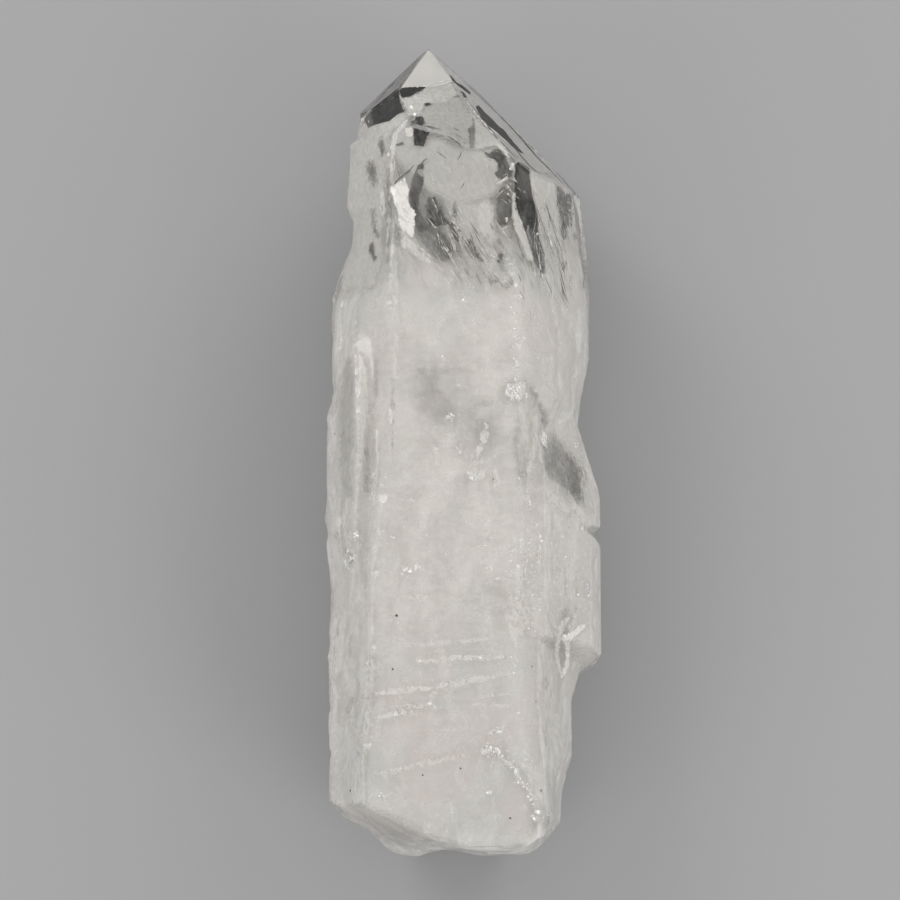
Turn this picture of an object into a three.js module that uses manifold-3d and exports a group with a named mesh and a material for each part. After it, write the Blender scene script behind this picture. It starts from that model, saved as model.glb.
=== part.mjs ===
// An etched quartz crystal: a single milky prism with a clear six-sided tip and a broken base.
// It lies on its flat back face. Lengths are in millimetres, the long axis runs along Y with the
// tip towards +Y, X is the width, and Z is up from the back face. The origin ends up under the
// middle of the crystal, at the level that it rests on.

import * as THREE from 'three';
import { ConvexGeometry } from 'three/addons/geometries/ConvexGeometry.js';
import { ImprovedNoise } from 'three/addons/math/ImprovedNoise.js';
import { mergeVertices } from 'three/addons/utils/BufferGeometryUtils.js';
import Module from 'manifold-3d';

// Driving dimensions of the whole crystal
const APEX = [-3.9, 46.3, 12];
const FRONT_Z = 23;
const LEFT_RIM_Z = 14;
const RIGHT_RIM_Z = 10;
const QUARTZ_LEAN = 51.8;
const LOFT_TOP_Y = 48;
const LOFT_BOTTOM_Y = -48;
const STATION_GAP = 1.7;
const WELD = 1e-4;
const SEED = 41;

// Edges that run the length of the crystal, in order around it. Each is a row of [y, x] and a row
// of [y, z] points from the tip to the base, and strips is how many strips lead to the next edge.
const EDGES = [
  {
    name: 'left rim',
    x: [[37, -11.6], [35.1, -11.8], [34.5, -12.6], [26.9, -12.9], [25.4, -12.2], [22.7, -12.4],
      [19.6, -13.7], [16.5, -14.6], [5.6, -14.2], [3.3, -15.1], [-10.5, -14.9], [-17.7, -14.3],
      [-22.9, -14.6], [-40, -14.4]],
    z: [[0, LEFT_RIM_Z]],
    strips: 3,
  },
  {
    name: 'left shoulder',
    x: [[47, -9.4], [20, -10.9], [13, -12], [5, -11.4], [-1.5, -11.2], [-9, -11.5], [-18.7, -11],
      [-40, -12.3]],
    z: [[20, 18], [13, 18.5], [8, 20.5], [0, 21.7], [-10, 21.6], [-20, 20.2], [-30, 18.6]],
    strips: 1,
  },
  {
    name: 'left groove',
    x: [[47, -8.4], [20, -9.5], [12, -10], [5, -9.7], [-9, -10.2], [-18.7, -10.4], [-40, -11.5]],
    z: [[47, 19.4], [20, 20], [12, 20.3], [6, 20.9], [-10, 21.3], [-18, 21.6], [-30, 20.9]],
    strips: 1,
  },
  {
    name: 'front left edge',
    x: [[37, -7], [32.2, -7.9], [-1.4, -7.8], [-10.2, -8.9], [-18.9, -9.7], [-28.6, -9.6],
      [-36.1, -10.5]],
    z: [[47, 20.8], [35, 21], [20, 22.2], [0, FRONT_Z]],
    strips: 6,
  },
  {
    name: 'front right edge',
    x: [[30, 5.6], [8.6, 6], [-29.6, 5.7], [-39.2, 6.8], [-43.4, 8]],
    z: [[47, 24], [29, 23.8], [10, 23.2], [0, FRONT_Z - 0.2]],
    strips: 1,
  },
  {
    name: 'right bevel',
    x: [[47, 7], [29.8, 7.5], [18.6, 8.7], [11.5, 10.3], [4.3, 10.6], [0.4, 8.8], [-4.1, 7.8],
      [-29.2, 7.9], [-37.8, 8.6]],
    z: [[47, 22.8], [29.8, 22.4], [18.6, 21.4], [11.5, 18.8], [4.3, 18.4], [-4.1, 20.6]],
    strips: 3,
  },
  {
    name: 'right rim',
    x: [[31.2, 11.7], [29.5, 13.1], [24, 13.8], [18.8, 14.1], [10.5, 13.8], [4.7, 12.8],
      [1.9, 12.4],
      [-5.7, 13.4], [-21.3, 13.4], [-24.4, 12.6], [-27.6, 11.8], [-33.8, 11.6], [-38, 10.5]],
    z: [[0, RIGHT_RIM_Z]],
    strips: 3,
  },
  {
    name: 'back right edge',
    x: [[47, 6], [30, 6.6], [5, 7.2], [-5, 8.2], [-22, 8], [-27, 6.6], [-47, 5]],
    z: [[0, 0]],
    strips: 4,
  },
  {
    name: 'back left edge',
    x: [[47, -4.2], [34, -4.8], [16, -6.4], [3, -6.8], [-47, -6.6]],
    z: [[0, 0]],
    strips: 4,
  },
];

// Flat faces of the tip. azimuth is measured round the long axis from straight up towards +X,
// lean is the angle between the face's normal and the long axis, and through is a point on it.
const TIP_FACES = [
  { azimuth: 7, lean: QUARTZ_LEAN - 3, through: APEX },
  { azimuth: 7, lean: QUARTZ_LEAN + 0.4, through: [-3.9, 42.9, 15] },
  { azimuth: 61, lean: QUARTZ_LEAN - 2, through: APEX },
  { azimuth: 119, lean: QUARTZ_LEAN + 1.4, through: [11.9, 31.2, 10.5] },
  { azimuth: 180, lean: QUARTZ_LEAN, through: APEX },
  { azimuth: -117, lean: QUARTZ_LEAN + 6, through: [-9.6, 40.2, 13] },
  { azimuth: -58, lean: QUARTZ_LEAN - 4.3, through: APEX },
  { azimuth: -38, lean: 66, through: [-9, 37.3, 17.9] },
];

// The break at the base, as rows of [x, y] at the height of the back, the rims and the front.
const BASE_BREAK = [
  { z: 0, row: [[-9, -40.2], [-2, -42.4], [4, -42], [9, -39.6]] },
  {
    z: 11,
    row: [[-14.6, -38.4], [-12.9, -40.6], [-10.8, -41.6], [-8.2, -44.3], [-5.2, -45.2],
      [-1.3, -44.1], [1.6, -44.6], [6.3, -45.1], [7.7, -44.3], [9.1, -43.1], [10.2, -41]],
  },
  {
    z: FRONT_Z,
    row: [[-13, -40.4], [-9.8, -41.6], [-6.7, -42.4], [-3.5, -44.3], [-0.4, -45.6], [5, -46],
      [7.5, -45.2], [10, -42]],
  },
];
const BREAK_CELL = 1.1;
const BREAK_ROUGHNESS = 0.55;
const BREAK_BLOCK = { width: 36, length: 16, height: 30, nearSideY: -44, bottomZ: -3 };

// The part of the right side that grew past the rest: its outline across the crystal as [x, z],
// its ends along Y, and the oblique flat faces that close it above and below.
const OVERGROWTH = {
  outline: [[5.4, 22.6], [8.6, 20.9], [13.8, 14.4], [14.95, 10.6], [14.2, 7.4], [9, 0.9], [3, 8]],
  topY: 6,
  bottomY: -26,
  faces: [
    { azimuth: 57.6, lean: 82.5, through: [8.7, -4, 20.6] },
    { azimuth: 96, lean: 70, through: [13.2, -0.1, 11] },
    { azimuth: 52, lean: 164, through: [14, -23, 11] },
    { azimuth: 80, lean: 118, through: [14.6, -22.9, 11] },
  ],
};

const wasm = await Module();
wasm.setup();

const perlin = new ImprovedNoise();
THREE.MathUtils.seededRandom(SEED);

function randomBetween(low, high) {
  return low + (high - low) * THREE.MathUtils.seededRandom();
}

// Straight-line value at a place on a row of [place, value] points, held constant past its ends.
function valueAt(row, place) {
  const sorted = row[0][0] <= row[row.length - 1][0] ? row : [...row].reverse();
  if (place <= sorted[0][0]) return sorted[0][1];
  for (let i = 1; i < sorted.length; i += 1) {
    const [start, startValue] = sorted[i - 1];
    const [end, endValue] = sorted[i];
    if (place <= end) return THREE.MathUtils.mapLinear(place, start, end, startValue, endValue);
  }
  return sorted[sorted.length - 1][1];
}

function solidFrom(geometry) {
  const bare = geometry.clone();
  bare.deleteAttribute('normal');
  bare.deleteAttribute('uv');
  const welded = mergeVertices(bare, WELD);
  return new wasm.Manifold(new wasm.Mesh({
    numProp: 3,
    vertProperties: new Float32Array(welded.attributes.position.array),
    triVerts: new Uint32Array(welded.index.array),
  }));
}

function geometryFrom(solid) {
  const { vertProperties, triVerts } = solid.getMesh();
  const geometry = new THREE.BufferGeometry();
  geometry.setAttribute('position', new THREE.BufferAttribute(vertProperties, 3));
  geometry.setIndex(new THREE.BufferAttribute(triVerts, 1));
  return geometry;
}

// The body is a loft: one ring of points around the crystal at every station along it.
const FACE_RELIEF = 0.5;
const EDGE_RELIEF = 0.22;
const RELIEF_ACROSS = 3.1;
const RELIEF_ALONG = 5.3;
const POLISHED_FROM_Y = 22;
const POLISHED_RELIEF = 0.45;
const MIN_STATION_GAP = 0.45;

function stations() {
  const turns = EDGES.flatMap((edge) => [...edge.x, ...edge.z].map(([y]) => y));
  const inside = turns.filter((y) => Math.abs(y) < LOFT_TOP_Y - STATION_GAP);
  const list = [LOFT_TOP_Y];
  for (const y of [...inside.sort((a, b) => b - a), LOFT_BOTTOM_Y]) {
    const last = list[list.length - 1];
    if (last - y < MIN_STATION_GAP) continue;
    const gaps = Math.ceil((last - y) / STATION_GAP);
    for (let i = 1; i <= gaps; i += 1) list.push(last + (y - last) * i / gaps);
  }
  return list;
}

function cornersAt(y) {
  return EDGES.map((edge) => new THREE.Vector3(valueAt(edge.x, y), y, valueAt(edge.z, y)));
}

function outwardNormal(from, to) {
  return new THREE.Vector3(from.z - to.z, 0, to.x - from.x).normalize();
}

function ringAt(y) {
  const corners = cornersAt(y);
  const polish = y > POLISHED_FROM_Y ? POLISHED_RELIEF : 1;
  return EDGES.flatMap((edge, index) => {
    const from = corners[index];
    const to = corners[(index + 1) % corners.length];
    const outward = outwardNormal(from, to);
    return Array.from({ length: edge.strips }, (_, strip) => {
      const point = from.clone().lerp(to, strip / edge.strips);
      if (point.z === 0) return point;
      const relief = polish * (strip === 0 ? EDGE_RELIEF : FACE_RELIEF);
      const swell = perlin.noise(point.x / RELIEF_ACROSS, y / RELIEF_ALONG, point.z / RELIEF_ACROSS);
      return point.addScaledVector(outward, relief * swell);
    });
  });
}

function capTriangles(ring) {
  const contour = ring.map((point) => new THREE.Vector2(point.x, point.z));
  return THREE.ShapeUtils.triangulateShape(contour, []);
}

function prismBody() {
  const rings = stations().map(ringAt);
  const count = rings[0].length;
  const positions = rings.flat().flatMap((point) => [point.x, point.y, point.z]);
  const indices = [];
  for (let j = 0; j + 1 < rings.length; j += 1) {
    for (let i = 0; i < count; i += 1) {
      const a = j * count + i;
      const b = j * count + (i + 1) % count;
      indices.push(a, a + count, b + count, a, b + count, b);
    }
  }
  const lastRing = (rings.length - 1) * count;
  for (const [a, b, c] of capTriangles(rings[0])) indices.push(a, c, b);
  for (const [a, b, c] of capTriangles(rings[rings.length - 1])) {
    indices.push(lastRing + a, lastRing + b, lastRing + c);
  }
  const geometry = new THREE.BufferGeometry();
  geometry.setAttribute('position', new THREE.Float32BufferAttribute(positions, 3));
  geometry.setIndex(indices);
  return solidFrom(geometry);
}

// Everything on the outer side of a flat face, as a block large enough to clear the crystal.
const BLOCK_SIDE = 150;
const BLOCK_DEPTH = 60;

function beyond({ azimuth, lean, through }) {
  const turn = THREE.MathUtils.degToRad(azimuth);
  const tilt = THREE.MathUtils.degToRad(lean);
  const normal = new THREE.Vector3(
    Math.sin(tilt) * Math.sin(turn),
    Math.cos(tilt),
    Math.sin(tilt) * Math.cos(turn),
  );
  const block = new THREE.BoxGeometry(BLOCK_SIDE, BLOCK_SIDE, BLOCK_DEPTH);
  block.translate(0, 0, BLOCK_DEPTH / 2);
  block.applyQuaternion(new THREE.Quaternion().setFromUnitVectors(new THREE.Vector3(0, 0, 1), normal));
  block.translate(...through);
  return solidFrom(block);
}

// The overgrowth is extruded down the crystal from its top and closed by its oblique faces.
function overgrowth() {
  const outline = new THREE.Shape(OVERGROWTH.outline.map(([x, z]) => new THREE.Vector2(x, z)));
  const depth = OVERGROWTH.topY - OVERGROWTH.bottomY;
  const geometry = new THREE.ExtrudeGeometry(outline, { depth, bevelEnabled: false });
  geometry.rotateX(Math.PI / 2);
  geometry.translate(0, OVERGROWTH.topY, 0);
  const solid = solidFrom(geometry);
  return OVERGROWTH.faces.reduce((trimmed, face) => trimmed.subtract(beyond(face)), solid);
}

// The broken base is cut by a block whose near side is the rough surface of the break.
function breakDepth(x, z) {
  const [back, middle, front] = BASE_BREAK;
  const [lower, upper] = z < middle.z ? [back, middle] : [middle, front];
  const part = THREE.MathUtils.clamp((z - lower.z) / (upper.z - lower.z), 0, 1);
  const smooth = THREE.MathUtils.lerp(valueAt(lower.row, x), valueAt(upper.row, x), part);
  const coarse = perlin.noise(x / 3.3, 7.7, z / 3.3);
  const fine = perlin.noise(x / 1.4, 3.3, z / 1.4);
  return smooth + BREAK_ROUGHNESS * (coarse + 0.4 * fine);
}

function brokenOff() {
  const { width, length, height, nearSideY, bottomZ } = BREAK_BLOCK;
  const [columns, rows] = [width, height].map((side) => Math.round(side / BREAK_CELL));
  const block = new THREE.BoxGeometry(width, length, height, columns, 1, rows);
  block.translate(0, nearSideY - length / 2, bottomZ + height / 2);
  const position = block.attributes.position;
  for (let i = 0; i < position.count; i += 1) {
    const isNearSide = position.getY(i) > nearSideY - length / 2;
    if (isNearSide) position.setY(i, breakDepth(position.getX(i), position.getZ(i)));
  }
  return solidFrom(block);
}

// A place on a long face, between the two points where its sides cross the plane at y.
function placeBetween(from, to, across) {
  const outward = outwardNormal(from, to);
  return { point: from.clone().lerp(to, across), azimuth: Math.atan2(outward.x, outward.z) };
}

function placeOn(edgeName, y, across) {
  const index = EDGES.findIndex((edge) => edge.name === edgeName);
  const corners = cornersAt(y);
  return placeBetween(corners[index], corners[(index + 1) % corners.length], across);
}

function placeOnOvergrowth(side, y, across) {
  const [from, to] = OVERGROWTH.outline.slice(side, side + 2).map(([x, z]) => new THREE.Vector3(x, y, z));
  return placeBetween(from, to, across);
}

// A sliver is a long double-ended pyramid. Cut into a face it leaves a tapering etched groove or
// pit, and joined to it a thin ridge. heading is its angle to the long axis, in degrees.
function sliver({ place, long, wide, deep, heading = 0 }) {
  const geometry = new THREE.OctahedronGeometry(1);
  geometry.scale(wide / 2, long / 2, deep);
  geometry.rotateZ(THREE.MathUtils.degToRad(heading));
  geometry.rotateY(place.azimuth);
  geometry.translate(place.point.x, place.point.y, place.point.z);
  return solidFrom(geometry);
}

// A shallow round shell scar, as a lens that is sunk into the front face.
const SHELL_SCAR = { x: -0.4, y: -40.6, radius: 9, deep: 0.7, lift: 3 };

function shellScar() {
  const { x, y, radius, deep, lift } = SHELL_SCAR;
  const profile = [
    new THREE.Vector2(0, -deep),
    new THREE.Vector2(radius * 0.5, -deep * 0.75),
    new THREE.Vector2(radius * 0.85, -deep * 0.28),
    new THREE.Vector2(radius, 0),
    new THREE.Vector2(radius, lift),
    new THREE.Vector2(0, lift),
  ];
  const geometry = new THREE.LatheGeometry(profile, 22);
  geometry.rotateX(Math.PI / 2);
  geometry.translate(x, y, FRONT_Z);
  return solidFrom(geometry);
}

// Low steps across the front, like the rungs of a ladder, that rise to the right.
function ladderGrooves() {
  const rungs = [-22.6, -24.3, -25.7, -28.2, -30.3, -32.8, -35.2];
  return rungs.map((y, index) => sliver({
    place: placeOn('front left edge', y, index % 2 === 0 ? 0.44 : 0.56),
    long: index % 2 === 0 ? 15 : 12,
    wide: 1.5,
    deep: 0.34,
    heading: 94 - index * 0.6,
  }));
}

// Upright grooves beside the front left edge, below the tip and again halfway down.
function leftFlutes() {
  const flute = { wide: 0.9, deep: 0.6 };
  return [
    sliver({ ...flute, place: placeOn('left groove', 27, 0.35), long: 17 }),
    sliver({ ...flute, place: placeOn('left groove', 24, 0.9), long: 15, heading: 1 }),
    sliver({ ...flute, place: placeOn('left groove', -3.5, 0.2), long: 12 }),
    sliver({ ...flute, place: placeOn('left rim', 14, 0.45), long: 13, deep: 0.45 }),
    sliver({ ...flute, place: placeOn('left rim', -12, 0.55), long: 16, deep: 0.4 }),
  ];
}

// Scattered etch pits, longer along the crystal than across, on every face but the back.
function etchPit(placeAt, low, high) {
  return sliver({
    place: placeAt(randomBetween(low, high), randomBetween(0.12, 0.88)),
    long: randomBetween(1.4, 3.6),
    wide: randomBetween(0.6, 1.3),
    deep: randomBetween(0.25, 0.5),
    heading: randomBetween(-9, 9),
  });
}

function etchPits() {
  const { topY, bottomY } = OVERGROWTH;
  const fields = [
    { on: 'left rim', low: -38, high: 19, count: 8 },
    { on: 'front left edge', low: -38, high: 19, count: 14 },
    { on: 'right bevel', low: topY + 2, high: 20, count: 5 },
    { on: 'right bevel', low: -38, high: bottomY - 3, count: 5 },
    { on: 'right rim', low: topY + 2, high: 20, count: 2 },
    { on: 'back left edge', low: -38, high: 19, count: 5 },
  ];
  return fields.flatMap(({ on, low, high, count }) => (
    Array.from({ length: count }, () => etchPit((y, across) => placeOn(on, y, across), low, high))));
}

function overgrowthPits() {
  const sides = [{ side: 1, count: 5 }, { side: 2, count: 3 }, { side: 4, count: 3 }];
  return sides.flatMap(({ side, count }) => (
    Array.from({ length: count }, () => (
      etchPit((y, across) => placeOnOvergrowth(side, y, across), -20, -9)))));
}

// Small chips along the long edges.
function edgeChips() {
  const edges = [
    { on: 'left rim', count: 9 },
    { on: 'front left edge', count: 6 },
    { on: 'front right edge', count: 9 },
  ];
  return edges.flatMap(({ on, count }) => Array.from({ length: count }, (_, index) => sliver({
    place: placeOn(on, THREE.MathUtils.mapLinear(index + randomBetween(0.1, 0.9), 0, count, 20, -40), 0),
    long: randomBetween(1.4, 3.4),
    wide: randomBetween(1, 1.8),
    deep: randomBetween(0.3, 0.55),
    heading: randomBetween(-14, 14),
  })));
}

// The three-cornered pit on the front face and the notch in the right rim.
function frontPit() {
  const rim = [[2.5, 0.3, 24], [0.5, -3.9, 24], [2.4, -5.8, 24]];
  const floor = [[1.7, -3.4, 22.1]];
  return solidFrom(new ConvexGeometry([...rim, ...floor].map((p) => new THREE.Vector3(...p))));
}

function rimNotch() {
  const mouth = [[16.5, -7.6, 16], [16.5, -10.3, 16], [16.5, -8.2, 3], [16.5, -10.9, 3]];
  const tip = [[13.1, -9.3, 17], [13.1, -9.5, 4]];
  return solidFrom(new ConvexGeometry([...mouth, ...tip].map((p) => new THREE.Vector3(...p))));
}

// A narrow four-sided pit low on the right, with thin ridges running up and down from it.
const SLOT_PIT = { x: 10.7, y: -23.8, z: 18.4, wide: 0.9, long: 2.7, deep: 2.6, azimuth: 50 };

function slotPit() {
  const { x, y, z, wide, long, deep, azimuth } = SLOT_PIT;
  const geometry = new THREE.BoxGeometry(wide, long, deep);
  geometry.rotateY(THREE.MathUtils.degToRad(azimuth));
  geometry.translate(x, y, z);
  return solidFrom(geometry);
}

function slotRidges() {
  const ridge = { wide: 0.8, deep: 0.55 };
  return [
    sliver({ ...ridge, place: placeOnOvergrowth(1, -20.4, 0.12), long: 5, heading: 34 }),
    sliver({ ...ridge, place: placeOnOvergrowth(1, -20.6, 0.55), long: 5, heading: -38 }),
    sliver({ ...ridge, place: placeOn('right bevel', -27, 0.3), long: 4.4, heading: 4 }),
  ];
}

// Shallow hollows in the back face, clear of the outline of the flat on which it rests.
function backPits() {
  const places = [[24, 0.5], [11, 0.35], [-6, 0.6], [-19, 0.4], [-33, 0.55]];
  return places.map(([y, across], index) => sliver({
    place: placeOn('back right edge', y, across),
    long: 5 + index % 3,
    wide: 2.2,
    deep: 0.5,
    heading: 12 * index,
  }));
}

function crystal() {
  let solid = prismBody().add(overgrowth());
  for (const ridge of slotRidges()) solid = solid.add(ridge);
  for (const face of TIP_FACES) solid = solid.subtract(beyond(face));
  const cuts = [
    brokenOff(),
    shellScar(),
    frontPit(),
    rimNotch(),
    slotPit(),
    ...ladderGrooves(),
    ...leftFlutes(),
    ...etchPits(),
    ...overgrowthPits(),
    ...edgeChips(),
    ...backPits(),
  ];
  for (const cut of cuts) solid = solid.subtract(cut);
  return solid;
}

// The crystal is moved so that the origin is under its middle, at the level that it rests on.
const geometry = geometryFrom(crystal());
geometry.computeBoundingBox();
const { min, max } = geometry.boundingBox;
geometry.translate(-(min.x + max.x) / 2, -(min.y + max.y) / 2, -min.z);
geometry.computeVertexNormals();

const quartz = new THREE.MeshStandardMaterial({
  color: 0xe4e1dc,
  roughness: 0.32,
  metalness: 0,
  flatShading: true,
});
const mesh = new THREE.Mesh(geometry, quartz);
mesh.name = 'quartz_crystal';

const group = new THREE.Group();
group.add(mesh);

export default group;
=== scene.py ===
import math

import bmesh
import bpy
import numpy as np
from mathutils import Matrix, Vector, noise
from mathutils.bvhtree import BVHTree


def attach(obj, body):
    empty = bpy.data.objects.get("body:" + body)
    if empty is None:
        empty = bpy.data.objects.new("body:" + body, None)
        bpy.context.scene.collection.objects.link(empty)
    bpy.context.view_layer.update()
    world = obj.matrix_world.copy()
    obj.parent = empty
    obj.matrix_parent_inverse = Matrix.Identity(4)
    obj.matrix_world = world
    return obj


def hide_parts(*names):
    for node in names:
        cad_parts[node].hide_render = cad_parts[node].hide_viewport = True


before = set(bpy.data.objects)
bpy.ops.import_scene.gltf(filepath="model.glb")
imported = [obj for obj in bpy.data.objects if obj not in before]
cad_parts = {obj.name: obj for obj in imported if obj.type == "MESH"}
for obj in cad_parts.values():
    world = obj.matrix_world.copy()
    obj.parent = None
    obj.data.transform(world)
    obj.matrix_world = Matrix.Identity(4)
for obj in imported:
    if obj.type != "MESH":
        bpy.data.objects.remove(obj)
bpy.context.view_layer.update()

# Quartz surface: the outside of the single crystal, clear silica that the ground has etched. Its
# prism faces are fluted, ribbed and pitted, the tip faces are smooth, and the base is a rough
# break. It is the CAD crystal cut finer, so that the etching is real relief.
MM = 0.001
WELD_GAP = 2e-6
FINE_CUT = {"octree_depth": 8, "scale": 0.99, "sharpness": 1.0}
CREASE_ANGLE = math.radians(24)
FLUTE_DEPTH = 0.09
RIB_DEPTH = 0.05
PIT_DEPTH = 0.06
GRAIN_DEPTH = 0.025
BREAK_DEPTH = 0.45
HOLLOW_REACH = 7
EDGE_WEAR = 0.85
FLANK_FULLNESS = 0.22
WEAR_REACH = 3
BREAK_WEAR = 0.9
BREAK_WEAR_REACH = 10
PIT_RIM = (0.42, 0.12)
MEND_ROUNDS = 3
EASE_ROUNDS = 12
EASE_REACH = 3
FOLD_ANGLE = math.radians(95)
# How many marks there are in a millimetre across, along and up
FLUTES_PER_MM = (0.9, 0.05, 0.9)
RIBS_PER_MM = (0.1, 1.3, 0.1)
PITS_PER_MM = (0.6, 0.38, 0.6)
HACKLES_PER_MM = (0.45, 0.6, 0.45)
# How far a face leans before it counts as tip, break or side face
TIP_LEAN = (0.22, 0.34)
BREAK_LEAN = (-0.3, -0.6)
FLANK_LEAN = (0.6, 0.92)
# Where along the crystal each of these comes in, in millimetres from its middle
TIP_FROM = (26.0, 29.0)
BREAK_FROM = (-33.0, -36.0)
BREAK_WEAR_FROM = (-37.0, -41.0)
ETCH_FROM = (24.0, 12.0)
ETCH_LEAST = 0.4
QUARTZ_IOR = 1.544
QUARTZ_TINT = (0.985, 0.98, 0.97, 1)
SHADOW_TINT = (0.86, 0.86, 0.85, 1)
POLISHED = 0.015


def fill(tree, node, inputs):
    """Gives a node's sockets values or links, in order or by name."""
    for key, value in inputs.items() if isinstance(inputs, dict) else enumerate(inputs):
        if isinstance(value, bpy.types.NodeSocket):
            tree.links.new(value, node.inputs[key])
        elif value is not None:
            node.inputs[key].default_value = value


def put(tree, kind, inputs=(), **settings):
    """Adds a node to a tree, sets it up and fills its sockets."""
    node = tree.nodes.new(kind)
    for name, value in settings.items():
        setattr(node, name, value)
    fill(tree, node, inputs)
    return node


def number(tree, operation, *inputs, clamp=False):
    """Adds a Math node and returns its result."""
    return put(tree, "ShaderNodeMath", inputs, operation=operation, use_clamp=clamp).outputs[0]


def ramp(tree, value, low, high, start=0.0, end=1.0):
    """Turns a value between low and high into one between start and end, with a soft step."""
    inputs = {"Value": value, "From Min": low, "From Max": high, "To Min": start, "To Max": end}
    node = put(tree, "ShaderNodeMapRange", inputs, interpolation_type="SMOOTHSTEP")
    return node.outputs["Result"]


def stretched(tree, place, stretch):
    """Scales a place, so that a pattern comes out drawn out along the crystal or across it."""
    node = put(tree, "ShaderNodeVectorMath", (place, stretch), operation="MULTIPLY")
    return node.outputs["Vector"]


def cloudy(tree, place, scale=1.0, detail=3.0, roughness=0.5, lean=0.0):
    """Adds a noise pattern and returns its value."""
    inputs = {"Vector": place, "Scale": scale, "Detail": detail, "Roughness": roughness,
              "Distortion": lean}
    return put(tree, "ShaderNodeTexNoise", inputs).outputs[0]


def blended(tree, amount, first, second, kind="RGBA"):
    """Mixes two colours or places, each given as a value or a link, and returns the result."""
    node = put(tree, "ShaderNodeMix", data_type=kind)
    sockets = [s for s in node.inputs if s.enabled]
    for socket, value in zip(sockets, (amount, first, second)):
        if isinstance(value, bpy.types.NodeSocket):
            tree.links.new(value, socket)
        else:
            socket.default_value = value
    return next(s for s in node.outputs if s.enabled)


def new_tree(name, sizes):
    """Starts a Geometry Nodes tree with the named sizes as its inputs."""
    tree = bpy.data.node_groups.new(name, "GeometryNodeTree")
    tree.interface.new_socket("Geometry", in_out="INPUT", socket_type="NodeSocketGeometry")
    for label, value in sizes.items():
        kind = "NodeSocketInt" if isinstance(value, int) else "NodeSocketFloat"
        socket = tree.interface.new_socket(label, in_out="INPUT", socket_type=kind)
        socket.default_value = value
    tree.interface.new_socket("Geometry", in_out="OUTPUT", socket_type="NodeSocketGeometry")
    return tree, tree.nodes.new("NodeGroupInput").outputs


def close_tree(tree, geometry, material):
    """Ends a tree: its instances are made real and its material is set."""
    real = put(tree, "GeometryNodeRealizeInstances", (geometry,)).outputs[0]
    dressed = put(tree, "GeometryNodeSetMaterial", {"Geometry": real, "Material": material})
    put(tree, "NodeGroupOutput", (dressed.outputs[0],))


def evened(tree, value, steps):
    """A place averaged with those of the points around it, so many steps away."""
    node = put(tree, "GeometryNodeBlurAttribute", {"Iterations": steps},
               data_type="FLOAT_VECTOR")
    tree.links.new(value, next(s for s in node.inputs if s.enabled and s.name == "Value"))
    return next(s for s in node.outputs if s.enabled)


def pushed_in(tree, depth):
    """The move that takes each point inwards by a depth in millimetres."""
    normal = put(tree, "GeometryNodeInputNormal").outputs[0]
    inwards = number(tree, "MULTIPLY", depth, -MM)
    return put(tree, "ShaderNodeVectorMath", {0: normal, "Scale": inwards},
               operation="SCALE").outputs[0]


def kinds_of_face(tree, facing, along):
    """How far a point belongs to the tip, the break, an etched face and a side face."""
    tip = number(tree, "MULTIPLY", ramp(tree, facing["Y"], *TIP_LEAN),
                 ramp(tree, along, *TIP_FROM))
    broken = number(tree, "MULTIPLY", ramp(tree, facing["Y"], *BREAK_LEAN),
                    ramp(tree, along, *BREAK_FROM))
    etched = number(tree, "SUBTRACT", 1.0, number(tree, "MAXIMUM", tip, broken))
    etched = number(tree, "MULTIPLY", etched, ramp(tree, along, *ETCH_FROM, start=ETCH_LEAST))
    flank = ramp(tree, number(tree, "ABSOLUTE", facing["X"]), *FLANK_LEAN)
    return tip, broken, etched, flank


def pit_marks(tree, in_mm):
    """Clusters of small pits: 1 in the middle of each, and 0 on the sound surface."""
    cells = put(tree, "ShaderNodeTexVoronoi",
                {"Vector": stretched(tree, in_mm, PITS_PER_MM), "Scale": 1.0})
    clusters = ramp(tree, cloudy(tree, in_mm, scale=0.16, detail=2.0), low=0.5, high=0.66)
    return number(tree, "MULTIPLY", ramp(tree, cells.outputs["Distance"], *PIT_RIM), clusters)


def etch_depth(tree, given, in_mm, broken, etched, flank, pits):
    """How far the surface is eaten in at each point, in millimetres."""
    flutes = cloudy(tree, stretched(tree, in_mm, FLUTES_PER_MM), roughness=0.55)
    ribs = cloudy(tree, stretched(tree, in_mm, RIBS_PER_MM), detail=2.0)
    grain = cloudy(tree, in_mm, scale=1.5, detail=2.0)
    hackle = cloudy(tree, stretched(tree, in_mm, HACKLES_PER_MM), detail=5.0, roughness=0.62,
                    lean=0.6)
    full = number(tree, "MULTIPLY", flank, given["Fullness"])
    depth = number(tree, "SUBTRACT", number(tree, "MULTIPLY", flutes, given["Flute depth"]), full)
    for pattern, size in ((ribs, "Rib depth"), (pits, "Pit depth"), (grain, "Grain depth")):
        depth = number(tree, "MULTIPLY_ADD", pattern, given[size], depth)
    depth = number(tree, "MULTIPLY", depth, etched)
    return number(tree, "MULTIPLY_ADD", number(tree, "MULTIPLY", hackle, given["Break depth"]),
                  broken, depth)


def worn_place(tree, given, place, along, tip):
    """Where each point goes as the edges wear round, most of all at the break."""
    wear = number(tree, "MULTIPLY", given["Wear"], number(tree, "SUBTRACT", 1.0, tip))
    worn = blended(tree, wear, place, evened(tree, place, WEAR_REACH), kind="VECTOR")
    at_break = ramp(tree, along, *BREAK_WEAR_FROM, end=BREAK_WEAR)
    return blended(tree, at_break, worn, evened(tree, place, BREAK_WEAR_REACH), kind="VECTOR")


def hollow_by(tree, place, normal):
    """How far a point lies below what is round it, in millimetres. It is negative on an edge."""
    around = evened(tree, place, HOLLOW_REACH)
    sunk = put(tree, "ShaderNodeVectorMath", (around, place), operation="SUBTRACT").outputs[0]
    hollow = put(tree, "ShaderNodeVectorMath", (sunk, normal), operation="DOT_PRODUCT")
    return number(tree, "DIVIDE", hollow.outputs["Value"], MM)


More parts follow.
